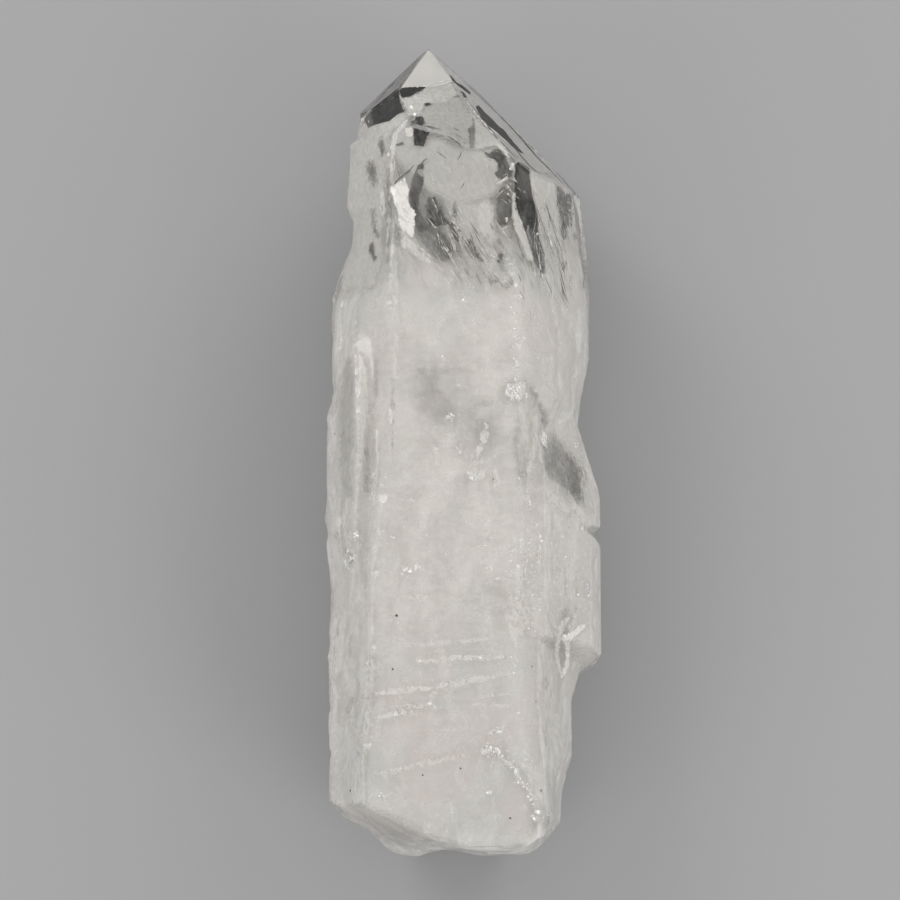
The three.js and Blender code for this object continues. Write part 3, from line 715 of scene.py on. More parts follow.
# Each row is the outline, its depth, how light it is, its cover, and how ragged and how soft its
# edge is
DARK_FILMS_AND_PAINTED_SHADE = [
    ([(-10.8, 36.8), (-9.2, 37.7), (-7.4, 38.4), (-7.1, 38.3), (-6.4, 36.2), (-7.2, 36.0),
      (-8.0, 35.4), (-10.3, 35.4)], 0.4, 0.02, 1.0, 0.08, 0.1),
    ([(-7.0, 39.2), (-6.7, 39.7), (-5.9, 39.9), (-4.2, 40.0), (-5.9, 38.5), (-6.7, 38.3)],
     0.2, 0.012, 1.0, 0.08, 0.1),
    ([(-4.3, 37.4), (-3.9, 37.6), (-3.5, 37.4), (-4.1, 37.1)], 0.35, 0.04, 0.9, 0.1, 0.15),
    ([(-5.7, 34.5), (-5.1, 35.4), (-4.5, 35.4), (-4.2, 34.5), (-4.7, 34.2)],
     0.35, 0.05, 0.95, 0.5, 0.15),
    ([(-5.5, 34.0), (-3.7, 33.3), (-4.1, 32.7), (-4.3, 31.8), (-5.2, 32.0)],
     0.35, 0.02, 1.0, 0.25, 0.08),
    ([(-7.3, 32.1), (-6.7, 32.4), (-6.5, 32.2), (-7.0, 32.0)], 0.4, 0.06, 0.8, 0.3, 0.15),
    ([(-7.2, 30.4), (-6.5, 31.2), (-5.4, 31.2), (-4.5, 30.6), (-5.1, 29.7), (-5.9, 28.9),
      (-7.1, 28.0)], 0.9, 0.24, 0.5, 0.6, 0.9),
    ([(-3.9, 25.9), (-3.1, 26.0), (-2.3, 24.8), (-2.0, 23.8), (-1.2, 22.7), (-2.3, 22.7),
      (-3.3, 22.5), (-4.1, 23.3)], 0.8, 0.1, 0.88, 0.55, 0.3),
    ([(-5.1, 22.8), (-3.9, 23.0), (-2.9, 22.6), (-1.8, 21.6), (-1.0, 20.1), (-1.2, 18.8),
      (-2.0, 18.4), (-3.1, 18.9), (-4.1, 20.2), (-4.9, 21.5)], 0.8, 0.22, 0.78, 0.5, 0.4),
    ([(-1.5, 23.0), (-0.9, 22.8), (-0.3, 21.8), (-0.5, 20.7), (-1.2, 21.1)],
     0.8, 0.15, 0.8, 0.6, 0.3),
    ([(-1.2, 23.4), (-0.9, 25.7), (-0.7, 24.7), (-0.8, 23.1)], 0.7, 0.14, 0.6, 0.5, 0.2),
    ([(0.4, 21.3), (1.1, 20.7), (1.9, 19.0), (2.3, 18.5), (1.7, 18.6), (0.9, 19.6)],
     0.7, 0.12, 0.85, 0.6, 0.25),
    ([(-1.2, 21.1), (-0.2, 19.4), (1.1, 16.6), (0.4, 16.6), (-0.6, 18.8)],
     0.7, 0.3, 0.6, 0.8, 0.35),
    ([(2.1, 17.5), (3.1, 16.6), (3.8, 16.1), (2.9, 15.9), (2.3, 16.6)], 0.6, 0.3, 0.6, 0.8, 0.3),
    ([(4.4, 15.9), (5.2, 16.5), (5.6, 16.1), (5.0, 15.2), (4.5, 15.4)], 0.5, 0.3, 0.5, 0.8, 0.3),
    ([(0.6, 33.6), (0.9, 34.3), (1.2, 34.2), (1.1, 31.3), (0.8, 31.3)], 0.3, 0.2, 0.6, 0.5, 0.15),
    ([(-11.2, 37.5), (-4.3, 45.6), (-5.9, 42.0), (-7.1, 39.1), (-9.5, 38.1)],
     0.3, 0.15, 0.5, 0.5, 0.4),
    ([(-5.5, 6.2), (-4.3, 7.7), (-1.2, 6.6), (0.4, 4.2), (0.8, 2.1), (-0.2, 0.0), (-2.2, -0.8),
      (-4.3, -0.4), (-5.7, 1.3), (-5.5, 3.7)], 0.4, 0.3, 0.2, 1.0, 2.2),
    ([(-0.2, 2.1), (1.5, 2.8), (3.5, 2.6), (4.1, 1.1), (3.7, -1.2), (2.5, -2.1), (1.0, -2.9),
      (0.2, -1.2), (-0.4, 0.4)], 0.4, 0.3, 0.18, 1.0, 1.5),
    ([(-5.3, 6.5), (-2.2, 6.6), (-0.6, 6.5), (-1.0, 5.8), (-3.1, 5.9), (-5.1, 5.8)],
     0.25, 0.3, 0.16, 1.0, 0.4),
    ([(1.0, 2.4), (2.1, 2.9), (3.3, 2.8), (3.1, 2.3), (1.7, 2.1)], 0.2, 0.25, 0.2, 0.8, 0.3),
    ([(6.6, 5.5), (7.7, 4.7), (9.5, 1.5), (8.9, 0.5), (8.1, 2.1), (7.0, 3.9)],
     0.13, 0.3, 0.5, 0.8, 0.6),
    ([(5.7, 2.4), (6.4, 0.6), (6.7, -2.3), (7.0, -6.0), (6.4, -7.4), (5.5, -5.4), (5.3, -2.0)],
     0.3, 0.35, 0.35, 0.8, 0.6),
    ([(-10.4, -0.8), (-10.0, 0.9), (-10.0, -2.5), (-10.1, -5.1), (-10.0, -7.0), (-10.8, -7.0),
      (-10.8, -4.3)], 0.25, 0.25, 0.5, 0.5, 0.3),
    # Painted shade: two soft grey films on the break at the base, which faces away from the light.
    ([(-12.9, -39.6), (-9.1, -41.2), (-5.4, -42.6), (-2.6, -44.2), (-2.2, -45.1), (-3.9, -44.9),
      (-7.2, -44.8), (-9.2, -43.2), (-11.3, -41.6)], 0.4, 0.45, 0.22, 0.6, 2.4),
    ([(-9.5, -42.0), (-7.1, -42.4), (-4.6, -43.6), (-3.2, -44.7), (-4.7, -44.8), (-7.2, -44.7),
      (-8.6, -43.4)], 0.3, 0.35, 0.18, 0.6, 1.6),
    ([(10.3, -22.8), (11.0, -22.8), (11.1, -23.9), (10.7, -25.0), (10.4, -24.8)],
     0.15, 0.42, 0.24, 0.5, 0.3),
    ([(7.8, -17.8), (10.9, -17.6), (13.5, -18.2), (13.1, -20.4), (11.1, -22.3), (9.2, -22.9),
      (7.8, -21.9)], 0.3, 0.45, 0.14, 0.8, 1.4),
    # Painted dark reflections: the next three films lie just above the right tip face.
    ([(-1.4, 42.5), (-0.7, 41.3), (-0.1, 41.5), (0.8, 40.8), (0.8, 40.3), (0.3, 40.5),
      (-0.4, 40.8), (-1.1, 41.3)], -0.03, 0.0, 1.0, 0.1, 0.08),
    ([(-0.2, 39.8), (0.1, 39.7), (0.4, 39.0), (0.2, 38.7)], -0.03, 0.0, 0.9, 0.1, 0.08),
    ([(1.5, 37.8), (1.8, 38.5), (2.3, 37.7), (3.3, 36.8), (4.0, 35.9), (4.5, 35.8), (5.0, 34.8),
      (5.6, 33.8), (6.5, 32.6), (6.6, 32.3), (6.2, 32.3), (5.5, 32.7), (4.5, 33.7), (3.6, 34.4),
      (3.0, 34.7), (2.3, 35.5), (1.8, 36.6)], -0.03, 0.0, 1.0, 0.3, 0.1),
    ([(1.8, 31.1), (2.3, 31.0), (2.5, 30.4), (2.9, 29.9), (3.4, 29.8), (3.8, 29.4), (3.7, 28.4),
      (3.5, 28.2), (4.0, 27.6), (4.6, 27.7), (5.2, 27.6), (5.4, 27.8), (5.4, 28.4), (5.0, 29.0),
      (4.9, 29.4), (4.7, 30.1), (4.3, 30.8), (3.5, 30.9), (2.8, 30.6)],
     0.6, 0.12, 0.85, 0.45, 0.25),
    ([(3.9, 26.4), (4.3, 26.7), (4.7, 26.7), (5.0, 26.0), (5.3, 25.3), (5.4, 24.1), (5.2, 23.1),
      (4.6, 22.4), (4.1, 22.2), (3.8, 22.9), (3.6, 24.2), (3.7, 25.5)],
     0.6, 0.16, 0.82, 0.35, 0.25),
    ([(4.3, 21.2), (5.1, 21.8), (5.6, 21.9), (5.5, 21.2), (5.1, 20.7), (4.7, 20.8)],
     0.6, 0.3, 0.5, 0.6, 0.3),
    ([(3.6, 18.4), (3.8, 19.0), (4.1, 19.5), (4.3, 19.2), (4.2, 18.6), (4.0, 18.2)],
     0.6, 0.12, 0.75, 0.5, 0.2),
    ([(5.7, 29.2), (6.2, 29.6), (7.1, 29.4), (7.1, 28.2), (7.3, 26.5), (7.6, 25.3), (7.9, 24.1),
      (8.2, 23.4), (8.0, 22.6), (8.2, 21.3), (8.6, 20.2), (8.7, 18.7), (8.9, 17.5), (8.5, 17.6),
      (7.7, 18.7), (7.2, 19.8), (6.8, 21.5), (6.5, 21.8), (6.0, 23.4), (5.6, 24.2)],
     0.4, 0.012, 1.0, 0.15, 0.08),
    ([(10.3, 28.7), (10.8, 29.0), (11.2, 28.7), (12.0, 29.0), (12.2, 28.5), (12.2, 26.7),
      (11.9, 24.9), (11.4, 23.9), (11.2, 22.9), (11.0, 22.9), (10.8, 24.0), (10.7, 25.3),
      (10.4, 26.5), (10.3, 27.9)], 0.12, 0.14, 0.82, 0.85, 0.4),
    ([(12.1, 23.9), (12.6, 24.6), (12.8, 24.0), (12.4, 23.6)], 0.12, 0.25, 0.5, 0.6, 0.3),
    ([(10.9, 20.0), (11.4, 20.2), (11.3, 19.3), (11.0, 19.0)], 0.12, 0.2, 0.6, 0.6, 0.2),
    ([(-4.9, 29.7), (-4.3, 29.8), (-4.2, 28.3), (-4.5, 26.8), (-4.8, 25.7), (-4.7, 24.6),
      (-4.2, 23.4), (-3.8, 22.4), (-4.6, 21.8), (-5.2, 22.8), (-5.5, 24.2), (-5.8, 25.2),
      (-5.9, 26.2), (-5.6, 27.7)], 0.5, 0.08, 0.88, 0.3, 0.25),
    ([(-9.3, 33.6), (-8.8, 33.5), (-8.5, 31.4), (-8.9, 31.2), (-9.3, 32.3)],
     0.12, 0.2, 0.7, 0.6, 0.4),
    ([(-10.7, 31.3), (-10.0, 31.4), (-9.4, 30.1), (-9.4, 27.8), (-10.0, 27.9), (-10.6, 29.7)],
     0.12, 0.25, 0.6, 0.8, 0.6),
    ([(-10.2, 25.5), (-9.7, 25.5), (-9.4, 23.6), (-8.9, 21.8), (-9.6, 21.9), (-10.1, 23.9)],
     0.12, 0.25, 0.55, 0.7, 0.5),
    ([(-10.3, 21.7), (-9.9, 21.5), (-9.5, 19.6), (-9.7, 19.1), (-10.2, 20.5)],
     0.12, 0.12, 0.75, 0.4, 0.2),
    ([(-7.5, 22.9), (-6.9, 22.5), (-6.7, 21.1), (-7.2, 21.0)], 0.12, 0.25, 0.55, 0.6, 0.35),
    ([(-7.8, 5.4), (-7.5, 5.4), (-7.5, 1.5), (-7.5, -2.5), (-7.7, -2.5), (-7.7, 1.6)],
     0.1, 0.35, 0.4, 0.4, 0.15),
    ([(-9.6, 8.0), (-9.3, 7.9), (-9.2, 5.7), (-9.3, 3.6), (-9.5, 3.6), (-9.6, 5.8)],
     0.1, 0.4, 0.35, 0.4, 0.15),
    # Painted shade: a soft grey band down the left side, beside the groove there.
    ([(-13.1, 9.0), (-11.7, 8.6), (-11.3, 4.1), (-11.5, -1.6), (-11.7, -8.0), (-13.2, -7.2),
      (-13.8, -0.5), (-13.9, 4.4)], 0.12, 0.48, 0.34, 0.7, 1.0),
    ([(-12.3, -28.7), (-11.5, -28.3), (-11.3, -28.9), (-11.8, -29.9), (-12.3, -30.6),
      (-12.6, -30.3)], 0.12, 0.42, 0.28, 0.6, 0.5),
    ([(8.5, -26.8), (9.0, -26.5), (9.1, -27.6), (8.7, -28.3), (8.5, -27.8)],
     0.12, 0.4, 0.3, 0.7, 0.4),
    ([(10.6, -19.1), (11.2, -19.0), (11.3, -19.8), (10.9, -20.2), (10.5, -19.9)],
     0.12, 0.42, 0.3, 0.7, 0.4),
    ([(7.4, -41.7), (9.1, -41.3), (9.8, -41.5), (9.5, -42.6), (8.0, -43.6)],
     0.3, 0.45, 0.3, 0.9, 0.9),
    # Painted darkness: the dark seen through the clear window on the right, in three soft films.
    ([(6.9, 3.4), (8.0, 2.6), (9.2, 0.9), (11.3, -0.4), (12.2, -1.2), (13.4, -2.8), (13.3, -7.1),
      (12.3, -7.1), (10.2, -6.0), (9.1, -5.7), (7.4, -7.2), (7.1, -5.0), (8.0, -1.0)],
     0.14, 0.35, 0.3, 0.9, 1.9),
    ([(8.3, -1.5), (9.6, 0.8), (11.3, -0.4), (12.2, -1.2), (13.4, -2.8), (13.3, -7.1),
      (12.3, -7.1), (10.2, -6.0), (9.1, -5.7), (8.0, -4.4)],
     0.12, 0.35, 0.36, 0.9, 1.7),
    ([(10.9, -0.8), (12.2, -1.2), (13.4, -2.8), (13.3, -7.1), (12.3, -7.2), (11.2, -6.3),
      (10.8, -4.2)], 0.09, 0.2, 0.5, 0.9, 1.5),
]
PALE_FILMS_AND_PAINTED_REFLECTIONS = [
    ([(-4.0, 28.3), (-1.3, 28.0), (2.6, 28.4), (3.3, 25.8), (3.2, 22.4), (2.7, 20.8), (4.6, 18.6),
      (3.8, 17.1), (1.9, 17.6), (-0.4, 20.1), (-1.2, 22.9), (-2.4, 25.8), (-4.0, 26.6)],
     0.95, 0.9, 0.6, 0.3, 1.2),
    ([(-13.0, 36.8), (-11.4, 37.3), (-10.3, 37.5), (-6.9, 37.0), (-5.8, 36.0), (-5.7, 34.9),
      (-7.7, 33.0), (-7.9, 29.8), (-8.3, 25.6), (-8.5, 19.0), (-9.3, 16.0), (-13.4, 17.4),
      (-13.2, 29.8)], 0.6, 0.82, 0.8, 0.25, 0.9),
    ([(7.2, 29.1), (8.3, 29.4), (10.2, 30.0), (10.2, 28.3), (10.4, 26.0), (10.6, 24.4),
      (10.8, 22.8), (9.9, 21.6), (9.1, 21.9), (8.6, 23.3), (7.7, 25.1), (7.4, 27.0)],
     0.5, 0.93, 0.6, 0.5, 0.35),
    ([(9.2, 28.4), (9.5, 28.6), (9.5, 27.1), (9.3, 26.8)], 0.3, 0.98, 0.9, 0.4, 0.2),
    ([(1.2, 23.8), (1.7, 25.0), (2.7, 25.5), (3.5, 24.9), (3.6, 22.4), (4.1, 21.0),
      (3.6, 19.9), (2.6, 20.3), (1.6, 22.0)], 0.45, 0.98, 0.55, 0.5, 0.7),
    ([(12.2, 29.1), (12.8, 29.3), (13.2, 28.6), (13.4, 27.1), (13.7, 24.5), (13.9, 22.1),
      (13.5, 21.9), (13.2, 25.1), (12.8, 27.2), (12.4, 28.4)], 0.1, 0.96, 0.6, 0.5, 0.3),
    ([(3.5, 31.8), (3.9, 31.9), (4.4, 31.4), (4.9, 30.5), (5.1, 29.8), (4.4, 30.4), (3.9, 31.0)],
     0.3, 0.98, 0.8, 0.4, 0.3),
    ([(-12.9, -11.3), (-12.3, -10.6), (-11.3, -11.1), (-11.1, -11.8), (-11.7, -12.2),
      (-12.5, -11.8)], 0.06, 0.98, 0.55, 0.9, 0.5),
    ([(-12.9, -13.1), (-12.0, -12.5), (-11.5, -13.7), (-11.8, -14.8), (-12.4, -14.4)],
     0.06, 0.98, 0.55, 0.9, 0.5),
    ([(8.3, 0.0), (8.6, 0.4), (8.9, -0.4), (9.1, -1.3), (8.6, -1.6), (8.3, -0.9)],
     0.08, 1.0, 1.0, 0.8, 0.3),
    ([(7.8, -13.1), (8.2, -12.8), (8.2, -14.9), (7.9, -15.1)], 0.08, 0.99, 0.7, 0.8, 0.25),
    ([(-10.6, -24.8), (-10.2, -24.8), (-9.6, -25.2), (-9.7, -25.9), (-10.4, -25.8)],
     0.08, 0.98, 0.7, 0.7, 0.25),
    # Painted reflections: the next three films, the bright top to the greyer foot of the upper tip
    # face.
    ([(-6.8, 39.5), (-6.7, 40.0), (-3.9, 45.9), (-3.5, 45.8), (-1.1, 41.1), (-2.3, 40.4),
      (-4.0, 39.9)], 0.25, 0.9, 0.85, 0.04, 0.1),
    ([(-7.0, 38.3), (-5.9, 38.4), (-4.8, 39.3), (-4.3, 40.4), (-1.1, 41.3), (-0.3, 39.0),
      (-2.1, 37.7), (-4.0, 37.3), (-4.8, 35.5), (-5.9, 35.5), (-6.6, 36.6)],
     0.35, 0.9, 0.7, 0.35, 0.5),
    ([(-0.3, 38.8), (1.1, 35.5), (1.2, 31.2), (0.3, 31.3), (-1.0, 32.2), (-2.3, 33.0),
      (-3.9, 33.5), (-4.4, 34.9), (-4.6, 35.5), (-4.0, 37.7), (-2.1, 38.1)],
     0.5, 0.66, 0.8, 0.2, 0.3),
    ([(-8.8, 32.0), (-7.7, 33.5), (-6.5, 35.0), (-3.9, 33.2), (-2.3, 32.9), (-0.2, 31.6),
      (1.2, 31.4), (4.8, 31.4), (5.6, 29.1), (3.8, 25.6), (-0.6, 24.6), (-4.3, 26.7),
      (-6.6, 29.0)], 0.7, 0.78, 0.7, 0.15, 1.0),
    # Painted reflection: a light triangle at the lower right of the upper tip face.
    ([(1.2, 35.5), (4.9, 31.6), (1.3, 31.0)], 0.3, 0.92, 0.6, 0.2, 0.25),
    ([(-3.4, 45.7), (0.2, 42.4), (4.0, 38.6), (8.0, 34.6), (10.8, 32.2), (8.0, 29.6),
      (4.2, 32.0), (1.2, 35.2), (-1.2, 40.6)], 0.3, 0.72, 0.6, 0.4, 0.15),
    ([(-6.3, 34.0), (-5.5, 34.0), (-5.5, 33.0), (-6.2, 33.0)], 0.3, 0.97, 0.9, 0.3, 0.12),
    ([(-8.4, 33.0), (-7.8, 32.9), (-7.6, 30.4), (-7.2, 28.6), (-8.2, 29.6)],
     0.5, 0.95, 0.5, 0.6, 0.4),
    ([(-7.9, 27.1), (-6.4, 28.2), (-6.0, 27.0), (-6.0, 25.4), (-5.2, 23.9), (-5.5, 23.5),
      (-5.3, 23.1), (-5.5, 21.3), (-6.9, 22.6), (-7.1, 24.4)], 0.3, 0.98, 1.0, 0.5, 0.12),
    ([(-6.9, 22.6), (-5.5, 21.4), (-5.1, 20.6), (-3.7, 19.0), (-2.1, 17.4), (-4.7, 18.6),
      (-6.5, 20.0), (-7.0, 21.3)], 0.35, 0.97, 0.75, 0.7, 0.5),
    ([(5.3, 25.8), (5.6, 25.9), (5.7, 24.1), (7.0, 20.9), (7.6, 18.7), (7.0, 18.6), (5.5, 22.4)],
     0.3, 0.92, 0.75, 0.3, 0.15),
    ([(4.7, 4.2), (5.4, 4.8), (6.7, 4.9), (6.6, 3.8), (6.0, 2.8), (5.2, 2.9), (4.5, 3.6)],
     0.08, 1.0, 1.0, 0.8, 0.4),
    ([(2.2, 0.4), (2.8, 0.1), (2.9, -1.0), (2.1, -2.3), (1.3, -3.6), (0.8, -4.0), (0.9, -3.1),
      (1.7, -1.7)], 0.1, 0.98, 0.75, 0.9, 0.3),
    ([(0.4, -5.2), (1.0, -4.9), (2.3, -5.0), (2.1, -5.8), (1.0, -6.0)], 0.1, 0.98, 0.9, 0.6, 0.15),
    ([(8.4, -7.7), (9.0, -6.1), (10.6, -6.9), (13.4, -8.0), (12.7, -8.6), (10.1, -8.3)],
     0.1, 1.0, 0.6, 0.7, 0.4),
    ([(-11.3, 8.8), (-10.4, 6.9), (-10.3, 2.6), (-10.6, -0.9), (-11.0, -5.1), (-11.5, -9.3),
      (-11.7, -9.2), (-11.5, -5.1), (-11.3, 0.4), (-11.4, 4.8)], 0.12, 0.97, 0.55, 0.4, 0.35),
    ([(7.6, 1.7), (8.0, 2.1), (8.1, 0.6), (7.8, -2.1), (7.1, -4.7), (6.9, -9.4), (6.7, -9.4),
      (6.8, -4.8), (7.5, -1.7)], 0.12, 0.97, 0.6, 0.6, 0.25),
    ([(4.6, -18.5), (6.4, -17.8), (7.3, -20.0), (6.6, -22.5), (5.4, -24.6), (4.7, -22.0)],
     0.15, 0.97, 0.5, 0.9, 0.6),
]
# Each row is the middle line of a narrow band, its width, depth, cover and how ragged it is
PALE_BANDS = [
    ([(6.6, 26.4), (6.65, 25.4), (6.7, 24.2)], 0.16, 0.38, 0.4, 0.5),
    ([(6.9, 22.6), (7.1, 21.4), (7.4, 20.2)], 0.14, 0.38, 0.3, 0.5),
    ([(10.3, -22.3), (11.2, -22.2), (12.0, -21.5), (12.6, -20.8), (13.2, -20.2)],
     0.58, 0.04, 1.0, 0.5),
    ([(10.2, -22.4), (10.4, -21.4), (10.8, -20.6), (11.4, -19.9)], 0.38, 0.04, 0.85, 0.6),
    ([(10.6, -22.2), (10.15, -22.6), (10.05, -23.8), (10.3, -24.9), (10.8, -25.9)],
     0.4, 0.04, 0.95, 0.4),
    ([(10.6, -22.3), (11.2, -22.6), (11.35, -23.6), (11.1, -24.8), (10.6, -25.9)],
     0.48, 0.04, 1.0, 0.4),
    ([(-7.5, 20.5), (-7.5, 17.7), (-7.4, 14.1), (-7.3, 10.7), (-7.4, 5.4)], 0.7, 0.1, 0.3, 0.7),
    ([(-5.1, -25.5), (-3.0, -25.6), (-1.2, -25.3), (2.0, -25.2), (5.3, -25.1)],
     0.45, 0.1, 0.55, 0.9),
    ([(-9.3, -29.1), (-7.1, -28.9), (-5.3, -28.6), (-3.6, -28.5)], 0.6, 0.1, 0.65, 0.7),
    ([(-3.9, -28.6), (-2.2, -28.1), (-0.6, -28.0), (1.6, -27.5), (5.1, -26.9)],
     0.6, 0.1, 0.6, 0.8),
    ([(-7.5, -30.7), (-5.5, -30.5), (-3.2, -30.2)], 0.45, 0.1, 0.55, 0.9),
    ([(-9.1, -31.6), (-7.5, -31.4), (-6.5, -31.2), (-4.7, -31.1)], 0.6, 0.1, 0.6, 0.9),
    ([(1.0, -30.2), (2.6, -30.3), (5.3, -30.5)], 0.4, 0.1, 0.4, 0.9),
    ([(1.8, -29.3), (3.0, -29.2), (5.1, -29.0)], 0.35, 0.1, 0.45, 0.9),
    ([(2.6, -33.3), (3.4, -33.0), (4.3, -32.6)], 0.6, 0.1, 0.75, 0.7),
    ([(-6.5, -18.8), (-5.1, -18.7), (-3.9, -18.7)], 0.5, 0.1, 0.45, 0.9),
    ([(-6.3, -24.0), (-3.0, -23.7), (0.2, -23.4), (3.0, -23.1)], 0.35, 0.1, 0.35, 0.9),
    ([(-9.3, -37.6), (-7.5, -37.4), (-5.1, -36.6), (-2.2, -36.1), (0.2, -35.6)],
     0.5, 0.1, 0.4, 1.0),
    ([(1.4, -35.3), (2.6, -35.1), (3.8, -35.4)], 0.8, 0.1, 0.85, 0.8),
    ([(-9.9, -39.8), (-8.9, -40.1), (-7.5, -39.7)], 0.6, 0.1, 0.45, 0.9),
    ([(3.6, -35.7), (4.6, -36.4), (5.5, -37.2), (5.9, -38.3), (6.8, -39.2), (7.7, -40.3)],
     0.4, 0.08, 0.75, 0.8),
    ([(-10.2, -24.9), (-9.9, -27.1), (-10.5, -29.0), (-11.3, -29.7), (-12.3, -30.8)],
     0.5, 0.07, 0.8, 0.8),
    ([(-11.8, -30.9), (-11.5, -32.8), (-11.0, -34.3), (-10.4, -32.8), (-10.1, -29.1)],
     0.4, 0.07, 0.8, 0.8),
    ([(-11.2, -34.2), (-10.8, -36.4), (-11.0, -38.8)], 0.5, 0.07, 0.75, 0.9),
    ([(-13.9, -21.2), (-14.2, -25.7), (-14.3, -29.9)], 0.5, 0.1, 0.5, 0.7),
]


def banded(line, width):
    """The outline of a band along a line: as wide as given in the middle and narrow at its ends."""
    left, right = [], []
    last = len(line) - 1
    for index, (x, y) in enumerate(line):
        ax, ay = line[max(0, index - 1)]
        bx, by = line[min(last, index + 1)]
        length = math.hypot(bx - ax, by - ay)
        half = width / 2 * (BAND_TIP if index in (0, last) else 1)
        across = (-(by - ay) / length * half, (bx - ax) / length * half)
        left.append((x + across[0], y + across[1]))
        right.append((x - across[0], y - across[1]))
    return left + right[::-1]


def inside_by(outline, x, y):
    """How far a point lies inside an outline. It is negative outside."""
    crossed, nearest = False, math.inf
    for (ax, ay), (bx, by) in zip(outline, outline[1:] + outline[:1]):
        along, up = bx - ax, by - ay
        if (ay > y) != (by > y) and x < ax + (y - ay) * along / up:
            crossed = not crossed
        share = ((x - ax) * along + (y - ay) * up) / (along ** 2 + up ** 2)
        share = max(0.0, min(1.0, share))
        nearest = min(nearest, math.hypot(x - ax - share * along, y - ay - share * up))
    return nearest if crossed else -nearest


def cast_down(x, y):
    """Where a plumb line meets the crystal's upper side, and the way that it faces there."""
    return outside.ray_cast(Vector((x, y, CAST_HEIGHT)) * MM, Vector((0, 0, -1)))[:2]


def surface_above(x, y):
    """The height of the crystal's upper side over a point, in millimetres, or None beside it."""
    hit = cast_down(x, y)[0]
    return hit.z / MM if hit else None


def note(mesh, label, values, kind="FLOAT"):
    """Gives each point of a mesh a named value, for its tree or its material to read."""
    data = mesh.attributes.new(label, kind, "POINT").data
    data.foreach_set("vector" if kind == "FLOAT_VECTOR" else "value", values)


def sheet_points(outline, depth, index):
    """A grid of points over an outline: each one's corner, its place and how far in it lies."""
    xs, ys = zip(*outline)
    for i, x in enumerate(np.arange(min(xs) - FILM_MARGIN, max(xs) + FILM_MARGIN, FILM_GRID)):
        for j, y in enumerate(np.arange(min(ys) - FILM_MARGIN, max(ys) + FILM_MARGIN, FILM_GRID)):
            edge = inside_by(outline, x, y)
            top = surface_above(x, y)
            if edge > -FILM_MARGIN and top is not None:
                wave = noise.noise(Vector((x, y, FILM_DISH_STEP * index)) * FILM_DISH_SCALE)
                dish = FILM_DISH * depth * wave
                yield (i, j), Vector((x, y, top - depth - dish)) * MM, edge


def film_mesh(name, films):
    """Lays each film as a sheet under the surface, and notes how far in from its edge it is."""
    points, faces, marks = [], [], []
    for index, (outline, depth, shade, cover, raggedness, softness) in enumerate(films):
        leaf = 1 - math.sqrt(1 - cover)
        known = {}
        for corner, point, edge in sheet_points(outline, depth, index):
            known[corner] = len(points)
            points.append(point)
            marks.append((edge, leaf, raggedness, shade, softness))
        for i, j in known:
            ring = [(i, j), (i + 1, j), (i + 1, j + 1), (i, j + 1)]
            if all(corner in known for corner in ring):
                faces.append([known[corner] for corner in ring])
    mesh = bpy.data.meshes.new(name)
    mesh.from_pydata(points, [], faces)
    labels = ("film_inside", "film_cover", "film_fray", "film_shade", "film_soft")
    for label, values in zip(labels, zip(*marks)):
        note(mesh, label, values)
    mesh.shade_smooth()
    body = ("SOLIDIFY", {"thickness": FILM_BODY * MM, "offset": -1.0}, {})
    return made_plain(name, mesh, [body])


def film_finish(name, mottling_strength):
    """A thin film: its own shade, mottled, with an edge that is crisp or frays out."""
    material, tree, shader = new_material(name)
    in_mm = object_mm(tree)
    frayed = reads(tree, "film_fray")
    soft = reads(tree, "film_soft")
    fine = cloudy(tree, stretched(tree, in_mm, (2.2, 1.3, 2.2)), detail=7.0, roughness=0.72)
    strength = number(tree, "MULTIPLY", frayed, number(tree, "ADD", soft, FILM_FRAY))
    inside = number(tree, "MULTIPLY_ADD", number(tree, "SUBTRACT", fine, 0.5), strength,
                    reads(tree, "film_inside"))
    within = ramp(tree, inside, low=-FILM_EDGE_OUTSIDE,
                  high=number(tree, "SUBTRACT", soft, FILM_EDGE_INSIDE))
    turned = put(tree, "ShaderNodeMapping", {"Vector": in_mm, "Rotation": (0, 0, STREAK_TURN)})
    crumpled = mottle(tree, turned.outputs[0], low=0.34, high=0.66, start=-1.0,
                      stretch=(3.2, 1.2, 3.2), detail=6.0, roughness=0.7, lean=0.6)
    uneven = number(tree, "MULTIPLY", crumpled,
                    number(tree, "MULTIPLY", frayed, mottling_strength))
    shade = number(tree, "ADD", reads(tree, "film_shade"), uneven, clamp=True)
    fill(tree, shader, {"Base Color": blended(tree, shade, FILM_AND_PAINTED_SHADE_BLACK, FILM_AND_PAINTED_REFLECTION_WHITE),
                        "Alpha": number(tree, "MULTIPLY", within, reads(tree, "film_cover")),
                        "Roughness": 0.35, "Specular IOR Level": 0.15})
    return material


# The dark films: a few healed cracks, and mostly painted darkness and painted shade.
dark_and_painted_shade_shape = film_mesh("dark_films", DARK_FILMS_AND_PAINTED_SHADE)
dark_and_painted_shade_shape.materials.append(film_finish("dark_film", DARK_MOTTLING))
dark_films = show("dark_films", dark_and_painted_shade_shape)
# The pale films and bands: white cracks, and a few painted reflections under the upper tip face.
bands = [(banded(line, width), depth, BAND_SHADE, cover, fray, BAND_SOFTNESS * width)
         for line, width, depth, cover, fray in PALE_BANDS]
pale_and_painted_reflection_shape = film_mesh("pale_films", PALE_FILMS_AND_PAINTED_REFLECTIONS + bands)
pale_and_painted_reflection_shape.materials.append(film_finish("pale_film", PALE_MOTTLING))
pale_films = show("pale_films", pale_and_painted_reflection_shape)

